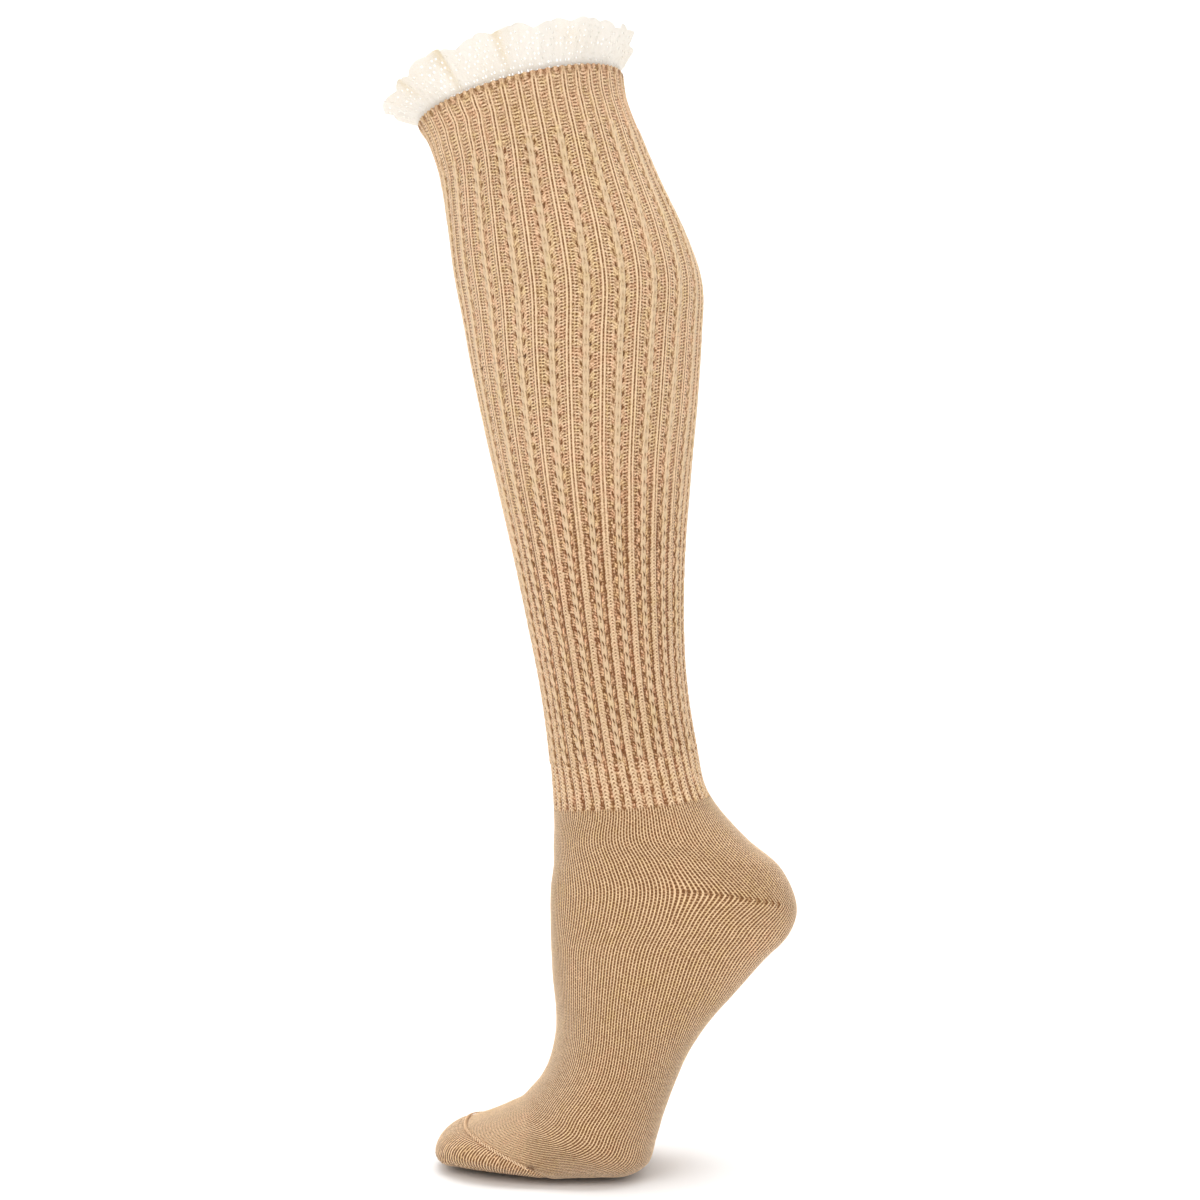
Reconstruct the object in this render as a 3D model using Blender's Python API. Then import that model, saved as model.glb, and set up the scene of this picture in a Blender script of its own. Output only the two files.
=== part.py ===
"""Knee-high knitted sock with a gathered lace edge, hollow, in the shape it takes on a leg that stands on tiptoe.

+Z is up, the toe points along -X and Y = 0 is the plane that halves the sock. The origin is on the leg's axis in
the middle of the welt, where the leg holds the sock up. Everything knitted is one smooth skin: a row of sections
from the rim to the toe's tip. Each node is a wall that runs between two stations of that skin.
"""

import math
from collections import namedtuple

import bmesh
import bpy
import numpy as np

MM = 0.001

# Knitting
WALES = 84  # needles round the tube
RIBS = WALES // 2  # one rib for every two needles, in the welt, the leg and the ankle rib
RIB_TOP = 0.36  # half the width of a rib's crown, in needles
RIB_FOOT = 0.68  # half the width of a rib where it meets the ground, in needles
CHAIN_TOP = 0.50  # the same for the twisted chain ribs of the leg
CHAIN_FOOT = 0.84
CHAIN_DEPTH = 0.0  # how far each surface lies below the skin
RIB_DEPTH = 0.5 * MM
GROUND_DEPTH = 1.2 * MM
RIBBED_INNER_DEPTH = 2.4 * MM
PLAIN_DEPTH = 0.4 * MM
PLAIN_INNER_DEPTH = 2.0 * MM
SEAM_GAP = 0.3 * MM  # between neighbouring pieces

# Lace
LACE_WALL = 1.0 * MM
LACE_HEADING = 5.0 * MM  # the edge that is sewn inside the welt
LACE_SEAT_GAP = 0.45 * MM  # the flat facets of the welt's inner wall reach 0.15 mm into it
LACE_WIDTH = 21.5 * MM  # from the rim to the scalloped edge
LACE_WIDTH_SWING = 2.0 * MM  # more than that at the sides, less at front and back
LACE_WAVES = 20
LACE_WAVE_HEIGHT = 3.5 * MM
LACE_WAVE_GROWTH = 1.2  # power by which the waves grow from the rim to the edge
LACE_POINTS_PER_WAVE = 6
LACE_ROWS = (0.0, 0.16, 0.38, 0.68, 1.0)  # shares of the width at which the wall has a row of points
LACE_FLARE = math.radians(35)
LACE_FLARE_SWING = math.radians(4)  # flares more at the front, less at the back
LACE_BEND_RADIUS = 9.0 * MM

# Slow unevenness of the lace's waves: bumps round the rim, size in radians and start
Drift = namedtuple("Drift", "bumps size start")
LACE_DRIFTS = (Drift(3, 0.7, 1.0), Drift(7, 0.5, 0.0))

# Where the lace falls further outwards: the place round the rim, how far it spreads and the added flare, in degrees
Fall = namedtuple("Fall", "place spread flare")
LACE_FALLS = (Fall(66, 13, 20), Fall(140, 12, 8), Fall(215, 13, 14), Fall(292, 15, 18))

# A row for each section, from the rim to the tip, in millimetres. A section runs from its front point round its
# widest point to its back point. Below the ankle, the front is the instep and the back is the heel and sole.
# shift moves the widest point away from the middle. A power under 1 makes that half of the section squarer.
Section = namedtuple(
    "Section",
    "name front_x front_z back_x back_z half_width shift_x shift_z front_power back_power",
)
SECTIONS = (
    Section("rim", -52.0, -1.0, 46.0, 24.0, 48.0, 0, 0, 1.0, 1.0),
    Section("welt_crease", -47.0, -9.5, 47.5, 14.0, 46.5, 0, 0, 1.0, 1.0),
    Section("welt_end", -41.5, -26.0, 53.5, -2.5, 47.5, 0, 0, 1.0, 1.0),
    Section("shin_top", -38.5, -45.5, 63.0, -24.5, 50.0, 0, 0, 1.0, 1.0),
    Section("calf_upper", -35.5, -68.5, 75.5, -50.5, 52.5, 0, 0, 1.0, 1.0),
    Section("calf_full", -31.0, -91.0, 83.0, -74.0, 53.5, 0, 0, 1.0, 1.0),
    Section("calf_lower", -26.5, -115.0, 83.0, -99.0, 52.0, 0, 0, 1.0, 1.0),
    Section("calf_end", -20.5, -143.5, 81.5, -129.0, 48.5, 0, 0, 1.0, 1.0),
    Section("taper_1", -13.0, -176.5, 78.0, -166.0, 43.0, 0, 0, 1.0, 1.0),
    Section("taper_2", -6.5, -205.0, 75.5, -196.0, 38.5, 0, 0, 1.0, 1.0),
    Section("taper_3", -0.5, -233.5, 74.5, -226.5, 35.0, 0, 0, 1.0, 1.0),
    Section("ankle_in", 6.5, -270.0, 76.0, -263.0, 31.0, 0, 0, 1.0, 1.0),
    Section("rib_top", 10.5, -302.0, 81.0, -294.5, 29.5, 1.0, 0, 1.0, 0.95),
    Section("rib_end", 12.0, -323.5, 87.0, -316.5, 30.0, 2.5, 0, 1.0, 0.9),
    Section("ankle", 12.0, -339.0, 104.8, -337.5, 31.5, 2.0, 3.0, 1.0, 0.85),
    Section("heel_top", 11.5, -352.0, 120.8, -351.5, 31.5, 0, 6.0, 1.0, 0.8),
    Section("suture", 10.5, -363.5, 128.0, -368.5, 30.5, -2.0, 8.0, 1.0, 0.75),
    Section("heel_low", 10.5, -376.5, 124.5, -382.0, 30.0, -1.0, 7.5, 1.0, 0.75),
    Section("heel_end", 10.8, -389.5, 112.0, -395.0, 30.0, 0, 6.5, 1.0, 0.75),
    Section("arch_1", 11.5, -403.0, 99.0, -409.5, 31.0, 0, 5.5, 1.0, 0.75),
    Section("arch_2", 13.0, -417.0, 85.5, -424.5, 33.0, 0, 4.0, 1.0, 0.75),
    Section("arch_3", 13.0, -428.5, 76.5, -438.0, 35.5, 0, 3.0, 1.0, 0.75),
    Section("knuckle_1", 11.0, -439.0, 70.5, -451.0, 38.0, 0, 2.0, 1.0, 0.7),
    Section("knuckle_2", 8.5, -446.0, 65.5, -463.5, 40.5, 0, 1.0, 1.0, 0.65),
    Section("ball_top", 5.0, -452.0, 61.5, -476.0, 42.5, 0, 0, 1.0, 0.6),
    Section("ball", 0.5, -457.0, 57.5, -487.0, 43.0, 1.0, 0, 1.0, 0.55),
    Section("ball_end", -3.5, -461.0, 49.0, -491.3, 42.5, 3.0, 0, 1.0, 0.5),
    Section("toes_1", -9.5, -464.0, 35.5, -491.8, 41.5, 6.0, -1.0, 0.95, 0.5),
    Section("toes_2", -16.5, -467.3, 22.0, -492.0, 40.0, 10.0, -1.5, 0.85, 0.5),
    Section("toe_seam", -26.0, -470.3, 9.5, -491.8, 38.5, 12.0, -2.0, 0.8, 0.5),
    Section("toe_1", -34.0, -473.0, -2.0, -491.2, 36.5, 9.0, -1.0, 0.75, 0.5),
    Section("toe_2", -39.5, -476.5, -14.0, -491.0, 31.5, 5.0, 0, 0.75, 0.55),
    Section("toe_3", -43.0, -480.8, -28.5, -491.0, 21.0, 1.0, 0, 0.85, 0.75),
    Section("toe_4", -44.0, -484.0, -38.5, -490.2, 13.0, 0, 0, 1.0, 0.95),
    Section("tip", -44.3, -487.0, -44.3, -487.0, 0.0, 0, 0, 1.0, 1.0),
)

# A row for each knitted piece: the rows of points on its outer and inner wall, and its columns inside
Piece = namedtuple("Piece", "name start end outer_rows inner_rows inner_columns")
RIBBED_PIECES = (
    Piece("welt", "rim", "welt_end", 4, 3, RIBS),
    Piece("leg", "welt_end", "rib_top", 12, 9, RIBS),
    Piece("ankle_rib", "rib_top", "rib_end", 3, 2, RIBS),
)
PLAIN_COLUMNS = 40
FOOT = Piece("foot", "rib_end", "toe_seam", 22, 18, PLAIN_COLUMNS)
TOE_CAP = Piece("toe_cap", "toe_seam", "tip", 7, 6, PLAIN_COLUMNS)

SLOPE_STEP = 0.2 * MM  # how far apart the points lie from which a surface's slope is taken
SLOPE_TURN = 0.004

COTTON_TAN = (0.62, 0.43, 0.26)
LACE_IVORY = (0.90, 0.86, 0.76)


def section_table():
    """The sections as numbers, with the distance of each from the rim along the sock."""
    rows = []
    for s in SECTIONS:
        middle_x = (s.front_x + s.back_x) / 2 + s.shift_x
        middle_z = (s.front_z + s.back_z) / 2 + s.shift_z
        rows.append(
            (
                s.front_x * MM,
                s.front_z * MM,
                middle_x * MM,
                middle_z * MM,
                s.back_x * MM,
                s.back_z * MM,
                s.half_width * MM,
                s.front_power,
                s.back_power,
            )
        )
    table = np.array(rows)
    steps = np.diff(table[:, :6], axis=0).reshape(-1, 3, 2)
    lengths = np.linalg.norm(steps, axis=2).mean(axis=1)
    stations = np.concatenate(([0.0], np.cumsum(lengths)))
    return stations, table


STATIONS, TABLE = section_table()
TANGENTS = np.gradient(TABLE, STATIONS, axis=0)
STATION = {section.name: station for section, station in zip(SECTIONS, STATIONS)}


def section_at(station):
    """The section's numbers at any distance from the rim, on a smooth curve through the table's rows."""
    station = np.clip(station, STATIONS[0], STATIONS[-1])
    i = np.clip(np.searchsorted(STATIONS, station, side="right") - 1, 0, len(STATIONS) - 2)
    length = (STATIONS[i + 1] - STATIONS[i])[..., None]
    u = (station - STATIONS[i])[..., None] / length
    start = TABLE[i] * (2 * u**3 - 3 * u**2 + 1)
    start_slope = TANGENTS[i] * length * (u**3 - 2 * u**2 + u)
    end = TABLE[i + 1] * (3 * u**2 - 2 * u**3)
    end_slope = TANGENTS[i + 1] * length * (u**3 - u**2)
    return start + start_slope + end + end_slope


def skin(station, angle):
    """A point of the skin. angle runs from 0 at the front, past a quarter turn at the widest point, to the back."""
    front_x, front_z, middle_x, middle_z, back_x, back_z, half_width, front_power, back_power = np.moveaxis(
        section_at(station), -1, 0
    )
    across = -np.cos(angle)
    x = middle_x + (back_x - front_x) / 2 * across + ((back_x + front_x) / 2 - middle_x) * across**2
    z = middle_z + (back_z - front_z) / 2 * across + ((back_z + front_z) / 2 - middle_z) * across**2
    share = (1 + across) / 2
    power = front_power + (back_power - front_power) * share * share * (3 - 2 * share)
    side = np.sin(angle)
    y = -half_width * np.sign(side) * np.abs(side) ** power
    return np.stack((x, y, z), axis=-1)


def unit(vectors):
    return vectors / np.linalg.norm(vectors, axis=-1, keepdims=True)


def slopes(surface, station, angle):
    """How a surface moves along the sock, and round it, for each metre and radian."""
    step = SLOPE_STEP
    turn = SLOPE_TURN
    before = np.maximum(station - step, STATIONS[0])
    after = np.minimum(station + step, STATIONS[-1])
    along = (surface(after, angle) - surface(before, angle)) / (after - before)[..., None]
    around = (surface(station, angle + turn) - surface(station, angle - turn)) / (2 * turn)
    return along, around


def wall_point(station, angle, depth):
    """A point that lies a depth below the skin."""
    along, around = slopes(skin, station, angle)
    outward = unit(np.cross(along, around))
    return skin(station, angle) - outward * depth[..., None]


def half_gap(station, angles):
    """Half the gap between pieces at a seam, in the stations' own measure. Sections lie at a slant at the toe."""
    along, around = slopes(skin, np.full_like(angles, station), angles)
    straight_across = np.linalg.norm(np.cross(along, around), axis=-1) / np.linalg.norm(around, axis=-1)
    return SEAM_GAP / 2 / straight_across


def wall(start, end, count, angles, depths):
    """Rows of wall points from one station to another, each end drawn back by half the gap between pieces."""
    share = np.linspace(0, 1, count + 1)[:, None]
    angles = np.broadcast_to(angles, (count + 1, len(angles)))
    begin = start + half_gap(start, angles)
    if end < STATIONS[-1]:
        stop = end - half_gap(end, angles)
    else:
        stop = np.full_like(angles, (STATION["toe_4"] + end) / 2)  # a fan of triangles closes the rest
    return wall_point(begin + (stop - begin) * share, angles, depths)


def rib_columns(chains):
    """Angles and depths of the outer points round a ribbed tube: four for each rib. Even ribs may be chains."""
    angles = []
    depths = []
    needle = 2 * math.pi / WALES
    for rib in range(RIBS):
        is_chain = chains and rib % 2 == 0
        top, foot = (CHAIN_TOP, CHAIN_FOOT) if is_chain else (RIB_TOP, RIB_FOOT)
        crown = CHAIN_DEPTH if is_chain else RIB_DEPTH
        for offset, depth in ((-foot, GROUND_DEPTH), (-top, crown), (top, crown), (foot, GROUND_DEPTH)):
            angles.append((2 * rib + offset) * needle)
            depths.append(depth)
    return np.array(angles), np.array(depths)


def plain_columns(count, depth):
    return np.arange(count) * 2 * math.pi / count, np.full(count, depth)


def add_ring(mesh, points):
    return [mesh.verts.new(point) for point in points]


def join_rings(mesh, upper, lower):
    """Quads between two rings with as many points."""
    count = len(upper)
    for i in range(count):
        j = (i + 1) % count
        mesh.faces.new((upper[i], upper[j], lower[j], lower[i]))


def join_edge(mesh, many, few):
    """Triangles between an edge ring and one with a whole fraction of its points."""
    ratio = len(many) // len(few)
    half = ratio // 2
    for i in range(len(few)):
        j = (i + 1) % len(few)
        for k in range(ratio):
            corner = few[i] if k < half else few[j]
            mesh.faces.new((many[ratio * i + k], many[(ratio * i + k + 1) % len(many)], corner))
        mesh.faces.new((many[ratio * i + half], few[j], few[i]))


def close_ring(mesh, ring, point):
    tip = mesh.verts.new(point)
    for i in range(len(ring)):
        mesh.faces.new((ring[i], ring[(i + 1) % len(ring)], tip))


def add_wall(name, outer, inner, colour, outer_tip=None, inner_tip=None):
    """A closed wall from rows of outer and inner points. Two tips close the far end over, as at the toe."""
    mesh = bmesh.new()
    outer_rings = [add_ring(mesh, row) for row in outer]
    inner_rings = [add_ring(mesh, row) for row in inner]
    for upper, lower in zip(outer_rings, outer_rings[1:]):
        join_rings(mesh, upper, lower)
    for upper, lower in zip(inner_rings, inner_rings[1:]):
        join_rings(mesh, lower, upper)
    join_edge(mesh, outer_rings[0], inner_rings[0])
    if outer_tip is None:
        join_edge(mesh, outer_rings[-1], inner_rings[-1])
    else:
        close_ring(mesh, outer_rings[-1], outer_tip)
        close_ring(mesh, inner_rings[-1], inner_tip)
    bmesh.ops.recalc_face_normals(mesh, faces=mesh.faces)
    data = bpy.data.meshes.new(name)
    mesh.to_mesh(data)
    mesh.free()
    data.shade_smooth()
    data.set_sharp_from_angle(angle=math.radians(50))
    data.materials.append(fabric(name, colour))
    piece = bpy.data.objects.new(name, data)
    COLLECTION.objects.link(piece)
    return piece


def fabric(name, colour):
    material = bpy.data.materials.new(name)
    material.use_nodes = True
    shader = material.node_tree.nodes["Principled BSDF"]
    shader.inputs["Base Color"].default_value = (*colour, 1.0)
    shader.inputs["Roughness"].default_value = 0.9
    shader.inputs["Metallic"].default_value = 0.0
    return material


def add_ribbed(piece):
    start = STATION[piece.start]
    end = STATION[piece.end]
    angles, depths = rib_columns(chains=piece.name == "leg")
    inner_angles, inner_depths = plain_columns(piece.inner_columns, RIBBED_INNER_DEPTH)
    inner_angles = inner_angles - math.pi / WALES
    outer = wall(start, end, piece.outer_rows, angles, depths)
    inner = wall(start, end, piece.inner_rows, inner_angles, inner_depths)
    return add_wall(piece.name, outer, inner, COTTON_TAN)


def add_plain(piece):
    start = STATION[piece.start]
    end = STATION[piece.end]
    angles, depths = plain_columns(PLAIN_COLUMNS, PLAIN_DEPTH)
    inner_angles, inner_depths = plain_columns(piece.inner_columns, PLAIN_INNER_DEPTH)
    outer = wall(start, end, piece.outer_rows, angles, depths)
    inner = wall(start, end, piece.inner_rows, inner_angles, inner_depths)
    tips = {}
    if piece.end == "tip":
        tip = skin(np.array(end), np.array(0.0))
        tips = {
            "outer_tip": tip + np.array((PLAIN_DEPTH, 0.0, 0.0)),
            "inner_tip": tip + np.array((PLAIN_INNER_DEPTH, 0.0, 0.0)),
        }
    return add_wall(piece.name, outer, inner, COTTON_TAN, **tips)


def lace_point(reach, angle):
    """A point of the lace's outer face, at a distance past the rim, or before it, where the heading is sewn in."""
    rim = np.zeros_like(angle)
    along, around = slopes(skin, rim, angle)
    outward = unit(np.cross(along, around))
    up = -unit(along)
    seat = RIBBED_INNER_DEPTH + LACE_SEAT_GAP
    heading = wall_point(np.maximum(-reach, 0.0), angle, np.full_like(angle, seat))
    flare = LACE_FLARE + LACE_FLARE_SWING * np.cos(angle)
    for fall in LACE_FALLS:
        away = np.cos(angle - math.radians(fall.place)) - 1
        flare = flare + math.radians(fall.flare) * np.exp(away / math.radians(fall.spread) ** 2)
    past = np.maximum(reach, 0.0)
    bent = np.minimum(past / LACE_BEND_RADIUS, flare)
    straight = past - bent * LACE_BEND_RADIUS
    rise = LACE_BEND_RADIUS * np.sin(bent) + straight * np.cos(flare)
    lean = LACE_BEND_RADIUS * (1 - np.cos(bent)) + straight * np.sin(flare)
    phase = LACE_WAVES * angle
    for drift in LACE_DRIFTS:
        phase = phase + drift.size * np.sin(drift.bumps * angle + drift.start)
    wave = LACE_WAVE_HEIGHT * (past / LACE_WIDTH) ** LACE_WAVE_GROWTH * np.cos(phase)
    rise = rise - wave * np.sin(bent)
    lean = lean + wave * np.cos(bent)
    return heading + up * rise[..., None] + outward * lean[..., None]


def add_lace():
    columns = LACE_POINTS_PER_WAVE * LACE_WAVES
    angles = np.arange(columns) * 2 * math.pi / columns
    width = LACE_WIDTH - LACE_WIDTH_SWING * np.cos(2 * angles)
    shares = np.array(LACE_ROWS)[:, None]
    reach = np.concatenate((np.full((1, columns), -LACE_HEADING), width * shares))
    angles = np.broadcast_to(angles, reach.shape)
    outer = lace_point(reach, angles)
    along = lace_point(reach + SLOPE_STEP, angles) - lace_point(reach - SLOPE_STEP, angles)
    around = lace_point(reach, angles + SLOPE_TURN) - lace_point(reach, angles - SLOPE_TURN)
    inner = outer + unit(np.cross(along, around)) * LACE_WALL
    return add_wall("lace_frill", outer, inner, LACE_IVORY)


for old in list(bpy.data.objects):
    bpy.data.objects.remove(old, do_unlink=True)

COLLECTION = bpy.data.collections.new("knee_high_sock")
bpy.context.scene.collection.children.link(COLLECTION)

for ribbed_piece in RIBBED_PIECES:
    add_ribbed(ribbed_piece)
add_plain(FOOT)
add_plain(TOE_CAP)
add_lace()
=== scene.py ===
import math
from collections import namedtuple

import bmesh
import bpy
import numpy as np
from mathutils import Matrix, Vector


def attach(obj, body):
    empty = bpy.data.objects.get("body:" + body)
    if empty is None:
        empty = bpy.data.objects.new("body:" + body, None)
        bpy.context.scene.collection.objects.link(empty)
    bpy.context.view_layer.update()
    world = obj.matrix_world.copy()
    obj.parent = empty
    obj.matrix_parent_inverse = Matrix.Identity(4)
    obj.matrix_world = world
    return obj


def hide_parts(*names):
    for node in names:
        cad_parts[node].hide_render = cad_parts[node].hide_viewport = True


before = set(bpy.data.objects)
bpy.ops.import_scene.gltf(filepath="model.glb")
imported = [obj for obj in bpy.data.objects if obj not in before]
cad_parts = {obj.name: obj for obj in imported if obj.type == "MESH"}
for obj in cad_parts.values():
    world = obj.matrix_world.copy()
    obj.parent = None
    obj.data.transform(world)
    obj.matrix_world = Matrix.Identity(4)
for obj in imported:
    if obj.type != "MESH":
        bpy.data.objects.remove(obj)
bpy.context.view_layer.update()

# ============================================================
# Welt: the top band of a sock that is knitted as one tube of camel cotton on 84 needles. It is plain 1x1
# rib, 27 mm deep, stretched round the leg, so each rib opens into two strands. Its edge rolls over.
# ============================================================
MM = 0.001
WALES = 84  # needles round the tube
COURSE = 1.5 * MM  # from one row of stitches to the next
RIB_COURSE = 1.75 * MM  # the same in the rib of the ankle, which is drawn in
GROUND_DEPTH = 1.2  # mm from the skin down to the purl ground between the ribs
INNER_DEPTH = 2.4 * MM  # from the skin to the inside of the ribbed pieces
ROLL_RADIUS = 0.9 * MM  # of the rolled edge
ROLL_ROWS = 6
LOOP_RISE = 0.6 * MM  # how far the small loops stand up from the edge, one on every wale

# The whole sock is one skin, a row of sections from the rim to the toe's tip, in millimetres. A section runs
# from its front point round its widest point to its back point. Below the ankle, the front is the instep.
# Where the lean is over 1, the wales stand closer together in front, as the heel takes up the cloth behind.
# A row leaves out its last numbers where the section isn't shifted, squarer or leaning.
SECTION_NUMBERS = "front_x front_z back_x back_z half_width shift_x shift_z front_power back_power lean"
Section = namedtuple("Section", "name " + SECTION_NUMBERS, defaults=(0, 0, 1.0, 1.0, 1.0))
SECTION_ROWS = (
    ("rim", -52.0, -1.0, 46.0, 24.0, 48.0),
    ("welt_crease", -47.0, -9.5, 47.5, 14.0, 46.5),
    ("welt_end", -41.5, -26.0, 53.5, -2.5, 47.5),
    ("shin_top", -38.5, -45.5, 63.0, -24.5, 50.0),
    ("calf_upper", -35.5, -68.5, 75.5, -50.5, 52.5),
    ("calf_full", -31.0, -91.0, 83.0, -74.0, 53.5),
    ("calf_lower", -26.5, -115.0, 83.0, -99.0, 52.0),
    ("calf_end", -20.5, -143.5, 81.5, -129.0, 48.5),
    ("taper_1", -13.0, -176.5, 78.0, -166.0, 43.0),
    ("taper_2", -6.5, -205.0, 75.5, -196.0, 38.5),
    ("taper_3", -0.5, -233.5, 74.5, -226.5, 35.0),
    ("ankle_in", 6.5, -270.0, 76.0, -263.0, 31.0),
    ("rib_top", 10.5, -302.0, 81.0, -294.5, 29.5, 1.0, 0, 1.0, 0.95),
    ("rib_end", 12.0, -323.5, 87.0, -316.5, 30.0, 2.5, 0, 1.0, 0.9),
    ("ankle", 12.0, -339.0, 104.8, -337.5, 31.5, 2.0, 3.0, 1.0, 0.85, 1.19),
    ("heel_top", 11.5, -352.0, 120.8, -351.5, 31.5, 0, 6.0, 1.0, 0.8, 1.2),
    ("suture", 10.5, -363.5, 128.0, -368.5, 30.5, -2.0, 8.0, 1.0, 0.75, 1.17),
    ("heel_low", 10.5, -376.5, 124.5, -382.0, 30.0, -1.0, 7.5, 1.0, 0.75, 1.2),
    ("heel_end", 10.8, -389.5, 112.0, -395.0, 30.0, 0, 6.5, 1.0, 0.75, 1.22),
    ("arch_1", 11.5, -403.0, 99.0, -409.5, 31.0, 0, 5.5, 1.0, 0.75, 1.16),
    ("arch_2", 13.0, -417.0, 85.5, -424.5, 33.0, 0, 4.0, 1.0, 0.75, 1.08),
    ("arch_3", 13.0, -428.5, 76.5, -438.0, 35.5, 0, 3.0, 1.0, 0.75),
    ("knuckle_1", 11.0, -439.0, 70.5, -451.0, 38.0, 0, 2.0, 1.0, 0.7, 0.97),
    ("knuckle_2", 8.5, -446.0, 65.5, -463.5, 40.5, 0, 1.0, 1.0, 0.65),
    ("ball_top", 5.0, -452.0, 61.5, -476.0, 42.5, 0, 0, 1.0, 0.6, 1.06),
    ("ball", 0.5, -457.0, 57.5, -487.0, 43.0, 1.0, 0, 1.0, 0.55, 1.07),
    ("ball_end", -3.5, -461.0, 49.0, -491.3, 42.5, 3.0, 0, 1.0, 0.5, 1.08),
    ("toes_1", -9.5, -464.0, 35.5, -491.8, 41.5, 6.0, -1.0, 0.95, 0.5, 1.08),
    ("toes_2", -16.5, -467.3, 22.0, -492.0, 40.0, 10.0, -1.5, 0.85, 0.5, 1.08),
    ("toe_seam", -29.5, -471.6, 9.5, -491.8, 38.5, 12.0, -2.0, 0.8, 0.5, 1.08),
    ("toe_1", -34.0, -473.0, -2.0, -491.2, 36.5, 9.0, -1.0, 0.75, 0.5, 1.08),
    ("toe_2", -39.5, -476.5, -14.0, -491.0, 31.5, 5.0, 0, 0.75, 0.55),
    ("toe_3", -43.0, -480.8, -28.5, -491.0, 21.0, 1.0, 0, 0.85, 0.75),
    ("toe_4", -44.0, -484.0, -38.5, -490.2, 13.0, 0, 0, 1.0, 0.95),
    ("tip", -44.3, -487.0, -44.3, -487.0, 0.0),
)
SECTIONS = [Section(*row) for row in SECTION_ROWS]


def section_table():
    """The sections in metres, with the distance of each from the rim along the sock."""
    rows = []
    for s in SECTIONS:
        middle_x = (s.front_x + s.back_x) / 2 + s.shift_x
        middle_z = (s.front_z + s.back_z) / 2 + s.shift_z
        lengths = np.array((s.front_x, s.front_z, middle_x, middle_z, s.back_x, s.back_z, s.half_width))
        rows.append((*lengths * MM, s.front_power, s.back_power, s.lean))
    table = np.array(rows)
    steps = np.diff(table[:, :6], axis=0).reshape(-1, 3, 2)
    stations = np.concatenate(([0.0], np.cumsum(np.linalg.norm(steps, axis=2).mean(axis=1))))
    return stations, table


STATIONS, TABLE = section_table()
TANGENTS = np.gradient(TABLE, STATIONS, axis=0)
STATION = {section.name: station for section, station in zip(SECTIONS, STATIONS)}


def section_at(station):
    """The section's numbers at any distance from the rim, on a smooth curve through the table's rows."""
    station = np.clip(station, STATIONS[0], STATIONS[-1])
    i = np.clip(np.searchsorted(STATIONS, station, side="right") - 1, 0, len(STATIONS) - 2)
    length = (STATIONS[i + 1] - STATIONS[i])[..., None]
    u = (station - STATIONS[i])[..., None] / length
    start = TABLE[i] * (2 * u**3 - 3 * u**2 + 1)
    start_slope = TANGENTS[i] * length * (u**3 - 2 * u**2 + u)
    end = TABLE[i + 1] * (3 * u**2 - 2 * u**3)
    end_slope = TANGENTS[i + 1] * length * (u**3 - u**2)
    return start + start_slope + end + end_slope


def skin(station, angle):
    """A point of the skin. The angle is 0 at the front, and grows past the near side to the back."""
    numbers = np.moveaxis(section_at(station), -1, 0)
    front_x, front_z, middle_x, middle_z, back_x, back_z, half_width, front_power, back_power, _ = numbers
    across = -np.cos(angle)
    x = middle_x + (back_x - front_x) / 2 * across + ((back_x + front_x) / 2 - middle_x) * across**2
    z = middle_z + (back_z - front_z) / 2 * across + ((back_z + front_z) / 2 - middle_z) * across**2
    share = (1 + across) / 2
    power = front_power + (back_power - front_power) * share * share * (3 - 2 * share)
    side = np.sin(angle)
    y = -half_width * np.sign(side) * np.abs(side) ** power
    return np.stack((x, y, z), axis=-1)


def unit(vectors):
    return vectors / np.maximum(np.linalg.norm(vectors, axis=-1, keepdims=True), 1e-12)


def skin_slopes(station, angle, step=0.2 * MM, turn=0.004):
    """How the skin moves along the sock, and round it, for each metre and radian."""
    before = np.maximum(station - step, STATIONS[0])
    after = np.minimum(station + step, STATIONS[-1])
    along = (skin(after, angle) - skin(before, angle)) / (after - before)[..., None]
    around = (skin(station, angle + turn) - skin(station, angle - turn)) / (2 * turn)
    return along, around


def smooth(value, start, end):
    """0 before start, 1 after end, and a soft step between them."""
    share = np.clip((value - start) / (end - start), 0, 1)
    return share * share * (3 - 2 * share)


HEEL_TURN = math.radians(13)  # how far the short rows of the heel carry a wale towards the back
HEEL_TURN_REACH = 16 * MM  # above and below the suture


def heel_turn(station, angle):
    """Wales on the heel's sides run on towards its back as far as the suture, and turn sharply there."""
    near = np.clip(1 - np.abs(station - STATION["suture"]) / HEEL_TURN_REACH, 0, 1)
    return HEEL_TURN * near**1.6 * np.where(np.cos(angle) < 0, -np.sin(2 * angle), 0.0)


LEG_TURN = math.radians(21)  # how far the wales have turned towards the back at the rim, on the near side
LEG_TURN_END = 185 * MM  # from the rim down to where they run straight


def leg_turn(station):
    """The sock sits on the leg with a slight turn, so its wales lean less than the leg does."""
    return LEG_TURN * np.clip(1 - station / LEG_TURN_END, 0, 1) ** 1.5


HALF_STEPS = 240  # steps that measure half of the way round a section


def wale_angles(stations, wales):
    """Angles that lay the wales along the cloth round each section, evenly but for the section's lean."""
    turns = np.linspace(0, math.pi, HALF_STEPS + 1)
    rings = skin(stations[:, None], turns[None, :])
    steps = np.linalg.norm(np.diff(rings, axis=1), axis=-1)
    shares = np.concatenate((np.zeros((len(stations), 1)), np.cumsum(steps, axis=1)), axis=1)
    shares /= np.maximum(shares[:, -1:], 1e-9)
    lean = section_at(stations)[:, -1]
    whole, part = np.divmod(wales / WALES, 1.0)
    near = np.where(part > 0.5, 1 - part, part) * 2
    half = np.array([np.interp(near**power, share, turns) for power, share in zip(lean, shares)])
    angles = np.where(part > 0.5, 2 * math.pi - half, half) + whole * 2 * math.pi
    return angles + heel_turn(stations[:, None], angles) + leg_turn(stations)[:, None]


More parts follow.
